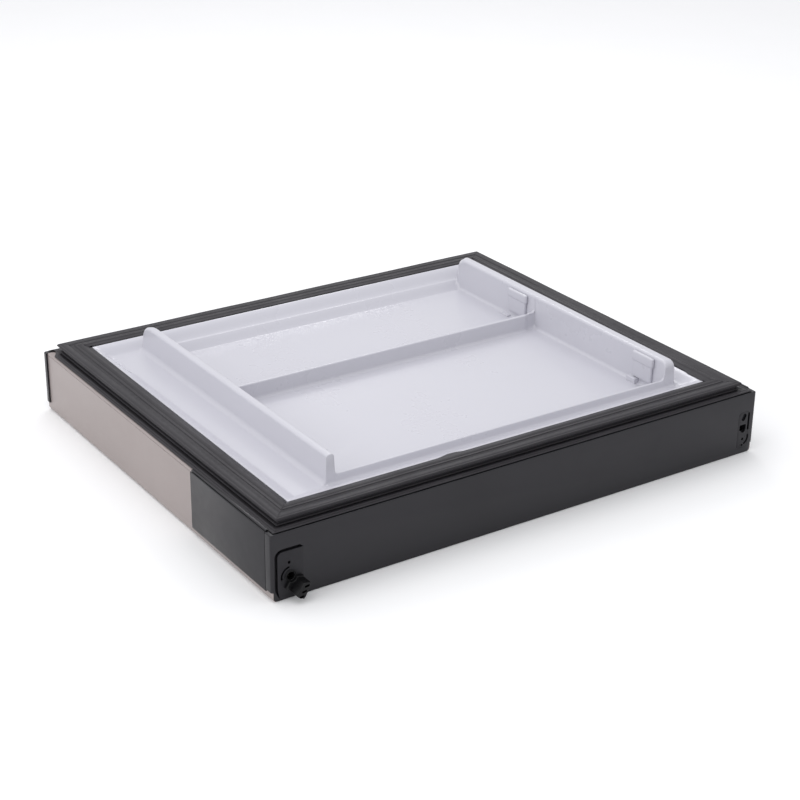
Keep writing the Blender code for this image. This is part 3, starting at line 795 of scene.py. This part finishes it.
def side_wall_height(wall, x, y):
    """The height of a side wall's crest, which ends in a round corner at each end."""
    top = wall[2] - FLANGE
    if y < 0:
        return FLANGE + rise(y - WALL_ENDS[0], top, END_COVE, wall[3])
    outer, inner = sorted(wall[:2], key=abs, reverse=True)
    share = min(max((x - outer) / (inner - outer), 0), 1)
    end = WALL_ENDS[1] - WALL_END_LEAN * (1 - sqrt(1 - min(share, 0.98) ** 2))
    return FLANGE + rise(end - y, top, 4 * MM, 19 * MM)


def smooth_step(share):
    share = min(max(share, 0), 1)
    return share * share * (3 - 2 * share)


def rim_height(x, y):
    """How far the flange rises to meet the gasket's inner lip."""
    inset = min(HALF_X - abs(x), HALF_Y - abs(y))
    if inset < RIM[0] - RIM_DROP:
        return 0
    if HALF_Y - abs(y) < HALF_X - abs(x):
        raised = gasket_lift(2 if y > 0 else 0, x / HALF_X)
    else:
        raised = gasket_lift(1 if x > 0 else 3, y / HALF_Y if x > 0 else -y / HALF_Y)
    full = RIM[2] + raised
    if inset < RIM[0]:
        return full * (inset - RIM[0] + RIM_DROP) / RIM_DROP
    return full * smooth_step((RIM[1] - inset) / (RIM[1] - RIM[0]))


def liner_height(x, y):
    """The height of the liner's upper face."""
    rim = rim_height(x, y)
    flange = FLANGE + rim
    ground = bay_height(y) + (0 if NEAR_WALL[0] < y < SLOPE[1] else rim)
    for wall in (LEFT_WALL, RIGHT_WALL):
        outer, inner = sorted(wall[:2], key=abs, reverse=True)
        inward = 1 if inner > outer else -1
        middle = (outer + inner) / 2
        crest = side_wall_height(wall, x, y)
        if abs(x - middle) >= WALL_REACH:
            continue
        if (x - middle) * inward <= 0:
            outside = rise((x - outer) * inward, crest - FLANGE, OUTER_COVE, CREST_ROUND)
            return max(flange, FLANGE + outside)
        return ground + rise((inner - x) * inward, crest - ground, INNER_COVE, CREST_ROUND)
    return ground if LEFT_WALL[1] < x < RIGHT_WALL[0] else flange


def distinct(values):
    """Sorted values with near copies dropped."""
    kept = []
    for value in sorted(values):
        if not kept or value - kept[-1] > 0.02 * MM:
            kept.append(value)
    return kept


def liner_lines():
    """The places of the liner's mesh lines, in X and in Y."""
    edge_x = HALF_X - sizes().hem - 0.3 * MM
    edge_y = HALF_Y - CAP_DEPTH - 0.3 * MM
    across = [-edge_x, edge_x, -240 * MM, 262 * MM, -100 * MM, 0, 100 * MM]
    across += [x * MM for x in (203, 206, 208.5, 211, 213.5, 215.5)]
    across += wall_lines(LEFT_WALL[0], 1, OUTER_COVE, CREST_ROUND)
    across += wall_lines(LEFT_WALL[1], -1, INNER_COVE, CREST_ROUND)
    across += wall_lines(RIGHT_WALL[0], 1, INNER_COVE, CREST_ROUND)
    across += wall_lines(RIGHT_WALL[1], -1, OUTER_COVE, CREST_ROUND)
    along = [-edge_y, edge_y, -100 * MM, 105 * MM, -185 * MM, -186.5 * MM]
    along += wall_lines(NEAR_WALL[0], 1, END_COVE, NEAR_ROUND)
    along += wall_lines(NEAR_WALL[1], -1, INNER_COVE, NEAR_ROUND)
    along += wall_lines(RIDGE[0], 1, INNER_COVE, RIDGE_ROUND)
    along += wall_lines(RIDGE[1], -1, INNER_COVE, RIDGE_ROUND)
    along += [SLOPE[0] + (SLOPE[1] - SLOPE[0]) * step / 10 for step in range(-1, 12)]
    end_steps = (-4, -3, -2, -1, 0, 1, 2, 3.5, 5, 7, 9, 11, 13, 16, 20, 25, 30)
    along += [WALL_ENDS[1] - step * MM for step in end_steps]
    for step in range(7):
        inset = RIM[0] + (RIM[1] - RIM[0]) * step / 6
        across += [HALF_X - inset, inset - HALF_X]
        along += [HALF_Y - inset, inset - HALF_Y]
    inset = RIM[0] - RIM_DROP
    across += [HALF_X - inset, inset - HALF_X]
    along += [HALF_Y - inset, inset - HALF_Y]
    return distinct(across), distinct(along)


def ridge_pocket(x, y):
    """How far the ridge's near face steps back beside the right wall."""
    if not RIDGE[0] - 4.1 * MM < y < RIDGE[0] + 2.4 * MM:
        return 0
    fade_in = smooth_step((x - 207 * MM) / (4 * MM))
    return 2 * MM * fade_in * smooth_step((225 * MM - x) / (3 * MM))


def lug_shapes():
    """The lugs that hold the shelf fronts, as soft blocks on the side walls' inner faces."""
    for near, far, low, high, foot in LUGS:
        split = low + (high - low) * 0.62
        foot_top = FLOOR + (6 * MM if near < 0 else 2 * MM)
        for face, inward in ((LEFT_WALL[1], 1), (RIGHT_WALL[0], -1)):
            for y, z, reach, radius in (
                ((near + MM, far - MM), (split, high), 3.8 * MM, 2 * MM),
                ((near + 2.5 * MM, far - 2.5 * MM), (low, split + 3 * MM), 3 * MM, 2 * MM),
                ((foot, foot + LUG_FOOT), (FLOOR - 0.5 * MM, foot_top), 6.5 * MM, 0.7 * MM),
            ):
                ends = sorted((face - inward * 0.6 * MM, face + inward * reach))
                shape = block((ends[0], y[0], z[0]), (ends[1], y[1], z[1]))
                soften(shape, shape.edges[:], radius, 4)
                yield shape


def liner_surface():
    """The liner's upper face: a grid with its lines at the coves and walls, raised to their heights."""
    across, along = liner_lines()
    shape = bmesh.new()
    bmesh.ops.create_grid(shape, x_segments=len(across) - 1, y_segments=len(along) - 1, size=0.5)
    for vert in shape.verts:
        x = across[round((vert.co.x + 0.5) * (len(across) - 1))]
        y = along[round((vert.co.y + 0.5) * (len(along) - 1))]
        vert.co = (x, y + ridge_pocket(x, y), liner_height(x, y))
    bmesh.ops.recalc_face_normals(shape, faces=shape.faces)
    if sum(face.normal.z for face in shape.faces) < 0:
        bmesh.ops.reverse_faces(shape, faces=shape.faces)
    return shape


def insulation():
    """The foam under the liner, with room for the bearings."""
    shape = liner_surface()
    shape.normal_update()
    for vert in shape.verts:
        vert.co -= vert.normal * (sizes().liner_sheet + 0.3 * MM)
        beside_ridge = RIDGE[0] - 6 * MM < vert.co.y < RIDGE[1] + 6 * MM
        if beside_ridge and LEFT_WALL[1] < vert.co.x:
            vert.co.z = min(vert.co.z, FLOOR - 2 * MM)
    border = [edge for edge in shape.edges if edge.is_boundary]
    made = bmesh.ops.extrude_edge_only(shape, edges=border)["geom"]
    for vert in verts_in(made):
        vert.co.z = MM
    border = [edge for edge in shape.edges if edge.is_boundary]
    bmesh.ops.contextual_create(shape, geom=border)
    bmesh.ops.recalc_face_normals(shape, faces=shape.faces)
    foam = thing("insulation", shape, "insulation_foam")
    deep = HALF_Y - 21 * MM
    rooms = [pin_hole(11 * MM, -HALF_Y, -deep, PIN.x), spare_socket(MM, -HALF_Y, 25 * MM - HALF_Y)]
    rooms.append(pin_hole(6.5 * MM, HALF_Y - 28 * MM, HALF_Y, PIN.x))
    rooms.append(pin_hole(6.5 * MM, deep, HALF_Y, -PIN.x))
    combine(foam, rooms)
    hand_over(foam, "door", "foam", "foam_core", sharp=50)


def liner():
    """The glossy thermoformed liner, with coves, leaning walls and lugs."""
    shape = liner_surface()
    sheet_piece = thing("liner_sheet", shape, "liner_plastic")
    sheet = sheet_piece.modifiers.new("sheet", "SOLIDIFY")
    sheet.thickness = sizes().liner_sheet
    sheet.offset = -1
    combine(sheet_piece, list(lug_shapes()), "UNION")
    hand_over(sheet_piece, "door", "white_liner", "door_liner", sharp=50)


# The gasket's section, as distance in from the door's edge and height, in millimetres
GASKET_SECTION = (
    (2.6, 70.5), (2.3, 70.8), (2.8, 71.25), (5.4, 71.25), (5.7, 70.95), (6.3, 70.95), (6.6, 71.25),
    (9.2, 71.3), (9.8, 70.9), (13.0, 70.9), (13.6, 71.7), (10.9, 72.6), (10.4, 72.95), (10.9, 73.3),
    (13.6, 73.6), (14.2, 74.5), (12.8, 75.5), (11.3, 76.3), (10.5, 77.0), (10.5, 78.6), (10.9, 79.2),
    (11.6, 79.35), (12.5, 79.0), (13.3, 79.0), (13.8, 79.3), (19.6, 79.35), (20.4, 78.6), (24.0, 78.55),
    (24.6, 79.3), (26.6, 79.35), (27.4, 78.95), (28.2, 79.3), (30.3, 79.7), (32.0, 79.5), (32.8, 78.9),
    (33.4, 78.5), (36.0, 77.9), (38.0, 77.4), (38.5, 77.0), (38.1, 76.7), (35.0, 76.5), (32.0, 75.8),
    (30.4, 74.6), (31.4, 73.4), (30.4, 72.2), (32.6, 71.4), (33.0, 70.8), (32.6, 70.3), (18.0, 70.3),
)
LIP_ROOT = 33 * MM
LIP_TIP = 38.5 * MM


def gasket_stations(half):
    """Shares of a side's half length, closer together at the mitres."""
    ends = [1 - distance / half for distance in (0.5 * MM, 2 * MM, 4 * MM, 9 * MM)]
    count = round(half / (5 * MM))
    middle = [ends[-1] * (2 * step / count - 1) for step in range(1, count)]
    return [-1.0] + [-end for end in ends] + middle + ends[::-1]


def lip_shift(side, place, from_corner):
    """How far the gasket's inner lip wanders in or out along a side."""
    shift = 0.12 * MM * sin(place * 61 + side) + 0.05 * MM * sin(place * 173 + 2 * side)
    if side == 0:
        share = (place + 73 * MM) / (17 * MM)
        if abs(share) < 1:
            shift += 3.2 * MM * (1 - share * share) ** 2
    if side == 1:
        share = min(max((-0.182 - place) / (6 * MM), 0), 1)
        shift += 2.2 * MM * share
    if from_corner < 2.5 * MM:
        shift -= 2 * MM
    return shift


def gasket_lift(side, share):
    """How far the soft face is pushed up along its inner lip, from the near side to the far one."""
    if side == 2:
        return 3.6 * MM + 0.6 * MM * (1 - share * share)
    return 1.8 * MM * (1 + (share if side == 1 else -share)) if side else 0.0


def gasket_loop(side, share):
    """The points of one section of the gasket, mitred where share is -1."""
    half_run, half_across = (HALF_X, HALF_Y) if side % 2 == 0 else (HALF_Y, HALF_X)
    mitre = abs(share) == 1
    far_end = (side == 1 and share > 0) or (side == 3 and share < 0)
    for inset, height in GASKET_SECTION:
        inset, height = inset * MM, height * MM
        run = share * (half_run - inset)
        from_corner = half_run - LIP_TIP - abs(run)
        if far_end and inset < 9 * MM and half_run - abs(run) < 15 * MM:
            inset = 8.5 * MM
        if inset > LIP_ROOT and height > 76 * MM:
            inset += lip_shift(side, run, from_corner) * (inset - LIP_ROOT) / (LIP_TIP - LIP_ROOT)
            run = share * (half_run - inset) if mitre else run
        if height > 75 * MM:
            slant = min(max((inset - 19 * MM) / (19.5 * MM), 0), 1)
            height += gasket_lift(side, share) * (0.2 + 0.8 * slant)
        if height > 78 * MM:
            height += 0.12 * MM * sin(run * 40 + side * 2) - (0.35 * MM if mitre else 0)
        local = Vector((run, inset - half_across, height))
        yield Matrix.Rotation(side * pi / 2, 3, "Z") @ local


def gasket():
    """The whole magnetic seal as one mitred extrusion, its face raised over its base."""
    loops = []
    for side in range(4):
        for share in gasket_stations(HALF_X if side % 2 == 0 else HALF_Y):
            loops.append(list(gasket_loop(side, share)))
    seal = thing("gasket_seal", sweep(loops, ring=True), "gasket_rubber")
    hand_over(seal, None, "gasket", "gasket_base", "gasket_bellows", "gasket_face", sharp=45)
    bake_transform(seal)


def left_insert():
    """The bearing plate of the hinge corner, with its pin hole, guide slot and screw hole."""
    face = -HALF_Y + 0.02 * MM
    back = SEAT_DEPTH - 0.3 * MM - HALF_Y
    shape = slab(left_seat(0.0), face, back)
    rim = [
        edge for edge in edges_at_y(shape, face)
        if min(vert.co.x for vert in edge.verts) < -HALF_X + 28 * MM
        and max(vert.co.z for vert in edge.verts) > 3 * MM
    ]
    soften(shape, rim, 0.3 * MM, 2)
    plate = thing("hinge_plate", shape, "insert_plastic")
    front = -HALF_Y - MM
    centre = (PIN.x, PIN.z)
    slot = list(arc(centre, 9.5 * MM, 96, 196, 12))
    combine(
        plate,
        [
            pin_hole(6 * MM, front, back + MM, PIN.x),
            slab(band(slot, 1.9 * MM), front, back + MM),
            slab(list(arc((-HALF_X + 17.4 * MM, 37.8 * MM), 1.6 * MM, 0, 345, 23)), front, back + MM),
        ],
    )
    hand_over(plate, "door", "black_acetal", "hinge_insert")


def right_insert():
    """The blank plate of the other corner, with holes for a hinge on that side."""
    face = -HALF_Y + 0.05 * MM
    front, back = -HALF_Y - MM, 2 * MM - HALF_Y
    shape = slab(right_seat(), face, back)
    soften(shape, edges_at_y(shape, face), 0.3 * MM, 2)
    plate = thing("spare_plate", shape, "insert_plastic")
    square = []
    for turn, (across, up) in enumerate(((1, 1), (-1, 1), (-1, -1), (1, -1))):
        corner = (SPARE_X + across * 3.3 * MM, 31 * MM + up * 2.2 * MM)
        square += arc(corner, 1.2 * MM, 90 * turn, 90 * turn + 90, 3)
    slanted = [(HALF_X - x * MM, z * MM) for x, z in ((13.3, 41.6), (12.4, 43.2), (11.6, 45))]
    holes = [slab(square, front, back + MM), slab(band(slanted, 5 * MM), front, back + MM)]
    holes += spare_grooves(back + MM)
    for across, up, radius in SPARE_ROUNDS:
        circle = arc((HALF_X + across * MM, up * MM), radius * MM, 0, 345, 23)
        holes.append(slab(list(circle), front, back + MM))
    combine(plate, holes)
    hand_over(plate, "door", "black_acetal", "spare_hinge_insert")


# The outline and the notch places of the cam's block, from the pin's centre in millimetres
CAM_BLOCK = (
    (5.9, -2.4), (12.8, -3.2), (12.7, -7), (9.9, -12.2), (7.2, -17.2), (5.8, -19), (1.5, -17.8),
    (-2.5, -13.9), (0.5, -9.5), (3.1, -6.9),
)
CAM_NOTCHES = ((8.8, -6.4), (5.9, -11.5), (3.1, -16.2))


def closer_cam():
    """The sprung sleeve with its toothed lobe, which turns with the hinge pin."""
    front = CAM_LOW.y
    ring = -HALF_Y - 0.9 * MM
    edge = 0.25 * MM
    profile = [
        (PIN_BORE, -HALF_Y + 22 * MM), (PIN_BORE, ring + edge), (PIN_BORE + edge, ring),
        (6.2 * MM - edge, ring),
        (6.2 * MM, ring + edge), (6.2 * MM, -HALF_Y - 0.3 * MM), (5.5 * MM, -HALF_Y - 0.3 * MM),
        (5.5 * MM, CAM_HIGH.y), (0, CAM_HIGH.y), (0, -HALF_Y + 22 * MM), (PIN_BORE, -HALF_Y + 22 * MM),
    ]
    cam = thing("cam_sleeve", turned(profile, PIN), "hinge_acetal")
    centre = (PIN.x, PIN.z)
    back = -HALF_Y - 0.3 * MM
    low = -HALF_Y - 4 * MM
    points = list(arc(centre, 12.5 * MM, -125, -8, 24)) + list(arc(centre, 4.9 * MM, -8, -125, 14))
    lobe = slab(points, low, back)
    soften(lobe, edges_at_y(lobe, low), 0.6 * MM, 3)
    tall = slab([(PIN.x + x * MM, PIN.z + z * MM) for x, z in CAM_BLOCK], front, back)
    soften(tall, [edge for edge in tall.edges if edge.calc_length() > 10 * MM], 0.7 * MM, 2)
    soften(tall, edges_at_y(tall, front), 0.5 * MM, 2)
    combine(cam, [lobe, tall], "UNION")
    slots = []
    for across, up in CAM_NOTCHES:
        middle = (PIN.x + across * MM, PIN.z + up * MM)
        path = [(middle[0] + reach * MM, middle[1] + reach * 0.17 * MM) for reach in (-2.5, 0, 2.5)]
        slots.append(slab(band(path, 2.2 * MM), front - MM, front + 6 * MM))
    bore = turned([(0, front - MM), (PIN_BORE, front - MM), (PIN_BORE, ring + MM), (0, ring + MM)], PIN)
    combine(cam, slots + [bore])
    hand_over(cam, "closer", "black_acetal", "closer_cam")


def top_bearings():
    """The bush and the blanking plug in the upper cap."""
    face = HALF_Y + 0.3 * MM
    high = BUSH_HIGH.y
    bush = turned(
        [
            (PIN_BORE, HALF_Y - 22 * MM), (PIN_BORE, high - 0.3 * MM), (4.3 * MM, high), (6.8 * MM, high),
            (7.2 * MM, high - 0.3 * MM), (7.2 * MM, face), (5.5 * MM, face), (5.5 * MM, BUSH_LOW.y),
            (0, BUSH_LOW.y), (0, HALF_Y - 22 * MM), (PIN_BORE, HALF_Y - 22 * MM),
        ],
        PIN,
    )
    hand_over(thing("upper_bush", bush, "hinge_acetal"), "door", "black_acetal", "top_hinge_bush")
    top = HALF_Y + MM
    plug = turned(
        [
            (0, top), (3.5 * MM, top), (4.2 * MM, top - 0.25 * MM), (6.4 * MM, top - 0.2 * MM),
            (7.2 * MM, face + 0.25 * MM), (7.2 * MM, face), (5 * MM, face), (5 * MM, HALF_Y - 11 * MM),
            (4.2 * MM, HALF_Y - 12 * MM), (0, HALF_Y - 12 * MM),
        ],
        Vector((-PIN.x, 0, PIN.z)),
    )
    hand_over(thing("upper_plug", plug, "hinge_acetal"), "door", "black_acetal", "top_hole_plug")


INNER_FINISHES = {
    "magnet_strip": ("magnet_lower", "magnet_upper", "magnet_left", "magnet_right"),
    "hinge_acetal": ("closer_housing",),
    "zinc_plate": (
        "closer_spring", "bottom_plate_left", "bottom_plate_right", "top_plate_left", "top_plate_right",
    ),
}


def inner_parts():
    """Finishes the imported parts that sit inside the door."""
    for material, nodes in INNER_FINISHES.items():
        for node in nodes:
            for place in frame["nodes"][node].material_slots:
                place.material = bpy.data.materials[material]


# Studio


def area_light(name, place, target, size, power):
    light = bpy.data.lights.new(name, "AREA")
    light.shape = "RECTANGLE"
    light.size, light.size_y = size
    light.energy = power
    obj = bpy.data.objects.new(name, light)
    obj.location = place
    obj.rotation_euler = (Vector(target) - Vector(place)).to_track_quat("-Z", "Y").to_euler()
    bpy.context.scene.collection.objects.link(obj)


# The camera's place, and its right, up and backward directions
CAMERA_PLACE = (-1.0057, -1.5115, 0.8639)
CAMERA_AXES = (
    (0.832746, -0.553554, 0.010641), (0.221765, 0.351102, 0.909697), (-0.507302, -0.755186, 0.415137),
)


def studio():
    """A pale floor, soft light and the camera."""
    scene = bpy.context.scene
    shape = bmesh.new()
    bmesh.ops.create_grid(shape, x_segments=8, y_segments=8, size=12)
    bmesh.ops.translate(shape, vec=(0, 0, -0.2 * MM), verts=shape.verts)
    floor = thing("studio_floor", shape, "studio_floor")
    floor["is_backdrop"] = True
    world = bpy.data.worlds.new("studio")
    world.use_nodes = True
    background = world.node_tree.nodes["Background"]
    background.inputs["Color"].default_value = (0.97, 0.975, 1.0, 1)
    background.inputs["Strength"].default_value = 0.88
    scene.world = world
    middle = (0, 0, 0.04)
    area_light("overhead", (-0.5, 0.3, 2.2), middle, (2.4, 2.0), 16)
    area_light("left", (-2.2, -0.2, 1.0), middle, (1.6, 1.2), 7)
    area_light("far_strip", (0.85, 1.25, 1.4), middle, (0.5, 0.3), 3)
    camera = bpy.data.cameras.new("camera")
    camera.lens = 81.7
    camera.sensor_width = 36
    camera.clip_end = 60
    obj = bpy.data.objects.new("camera", camera)
    obj.matrix_world = Matrix.Translation(CAMERA_PLACE) @ Matrix(CAMERA_AXES).transposed().to_4x4()
    scene.collection.objects.link(obj)
    scene.camera = obj
    scene.view_settings.view_transform = "Standard"


# Operators


class FREEZER_DOOR_OT_finishes(bpy.types.Operator):
    """Make the shared shader groups and the material of each finish"""

    bl_idname = "freezer_door.finishes"
    bl_label = "Finishes"

    def execute(self, context):
        shade_variation_group()
        handling_marks_group()
        moulded_grain_group()
        edge_wear_group()
        settled_dust_group()
        finishes()
        return {"FINISHED"}


class FREEZER_DOOR_OT_skin(bpy.types.Operator):
    """Form the coated steel skin with its hems and notches"""

    bl_idname = "freezer_door.skin"
    bl_label = "Steel Skin"

    def execute(self, context):
        steel_front()
        return {"FINISHED"}


class FREEZER_DOOR_OT_caps(bpy.types.Operator):
    """Mould the caps of both ends"""

    bl_idname = "freezer_door.caps"
    bl_label = "End Caps"

    def execute(self, context):
        end_caps()
        return {"FINISHED"}


class FREEZER_DOOR_OT_covers(bpy.types.Operator):
    """Mould the covers beside the lower hinge corners"""

    bl_idname = "freezer_door.covers"
    bl_label = "Side Covers"

    def execute(self, context):
        side_covers()
        return {"FINISHED"}


class FREEZER_DOOR_OT_liner(bpy.types.Operator):
    """Form the liner with its walls, ridge, slope and lugs"""

    bl_idname = "freezer_door.liner"
    bl_label = "Liner"

    def execute(self, context):
        liner()
        insulation()
        return {"FINISHED"}


class FREEZER_DOOR_OT_gasket(bpy.types.Operator):
    """Run the seal's section round the door and mitre its corners"""

    bl_idname = "freezer_door.gasket"
    bl_label = "Gasket"

    def execute(self, context):
        gasket()
        return {"FINISHED"}


class FREEZER_DOOR_OT_inserts(bpy.types.Operator):
    """Mould the hinge insert and the blank insert of the lower cap"""

    bl_idname = "freezer_door.inserts"
    bl_label = "Hinge Inserts"

    def execute(self, context):
        left_insert()
        right_insert()
        return {"FINISHED"}


class FREEZER_DOOR_OT_cam(bpy.types.Operator):
    """Turn the closer's sleeve and cut the teeth of its cam"""

    bl_idname = "freezer_door.cam"
    bl_label = "Closer Cam"

    def execute(self, context):
        closer_cam()
        return {"FINISHED"}


class FREEZER_DOOR_OT_bearings(bpy.types.Operator):
    """Turn the bush and the plug of the upper cap"""

    bl_idname = "freezer_door.bearings"
    bl_label = "Upper Bearings"

    def execute(self, context):
        top_bearings()
        return {"FINISHED"}


class FREEZER_DOOR_OT_inner_parts(bpy.types.Operator):
    """Give the magnets, plates, closer housing and spring their finishes"""

    bl_idname = "freezer_door.inner_parts"
    bl_label = "Inner Parts"

    def execute(self, context):
        inner_parts()
        return {"FINISHED"}


class FREEZER_DOOR_OT_studio(bpy.types.Operator):
    """Set up the floor, the soft lights and the camera"""

    bl_idname = "freezer_door.studio"
    bl_label = "Studio"

    def execute(self, context):
        studio()
        return {"FINISHED"}


OPERATORS = (
    FREEZER_DOOR_OT_finishes,
    FREEZER_DOOR_OT_skin,
    FREEZER_DOOR_OT_caps,
    FREEZER_DOOR_OT_covers,
    FREEZER_DOOR_OT_liner,
    FREEZER_DOOR_OT_gasket,
    FREEZER_DOOR_OT_inserts,
    FREEZER_DOOR_OT_cam,
    FREEZER_DOOR_OT_bearings,
    FREEZER_DOOR_OT_inner_parts,
    FREEZER_DOOR_OT_studio,
)


class FREEZER_DOOR_PT_build(bpy.types.Panel):
    """Sizes, colours and the building steps of the freezer door"""

    bl_idname = "FREEZER_DOOR_PT_build"
    bl_label = "Freezer Door"
    bl_space_type = "VIEW_3D"
    bl_region_type = "UI"
    bl_category = "Freezer Door"

    def draw(self, context):
        for group in (context.scene.freezer_door_sizes, context.scene.freezer_door_colours):
            column = self.layout.column(align=True)
            for name in group.__annotations__:
                column.prop(group, name)
        column = self.layout.column(align=True)
        for made in OPERATORS:
            column.operator(made.bl_idname)


CLASSES = (FreezerDoorSizes, FreezerDoorColours, *OPERATORS, FREEZER_DOOR_PT_build)


def register():
    for made in CLASSES:
        bpy.utils.register_class(made)
    bpy.types.Scene.freezer_door_sizes = PointerProperty(type=FreezerDoorSizes)
    bpy.types.Scene.freezer_door_colours = PointerProperty(type=FreezerDoorColours)


def unregister():
    del bpy.types.Scene.freezer_door_colours
    del bpy.types.Scene.freezer_door_sizes
    for made in reversed(CLASSES):
        bpy.utils.unregister_class(made)


def main():
    register()
    bpy.ops.freezer_door.finishes()
    bpy.ops.freezer_door.skin()
    bpy.ops.freezer_door.caps()
    bpy.ops.freezer_door.covers()
    bpy.ops.freezer_door.liner()
    bpy.ops.freezer_door.gasket()
    bpy.ops.freezer_door.inserts()
    bpy.ops.freezer_door.cam()
    bpy.ops.freezer_door.bearings()
    bpy.ops.freezer_door.inner_parts()
    bpy.ops.freezer_door.studio()
    boxes = {"cad": CAD_BOX, "visual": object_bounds()}
    plain = {name: [list(corner) for corner in box] for name, box in boxes.items()}


if __name__ == "__main__":
    main()
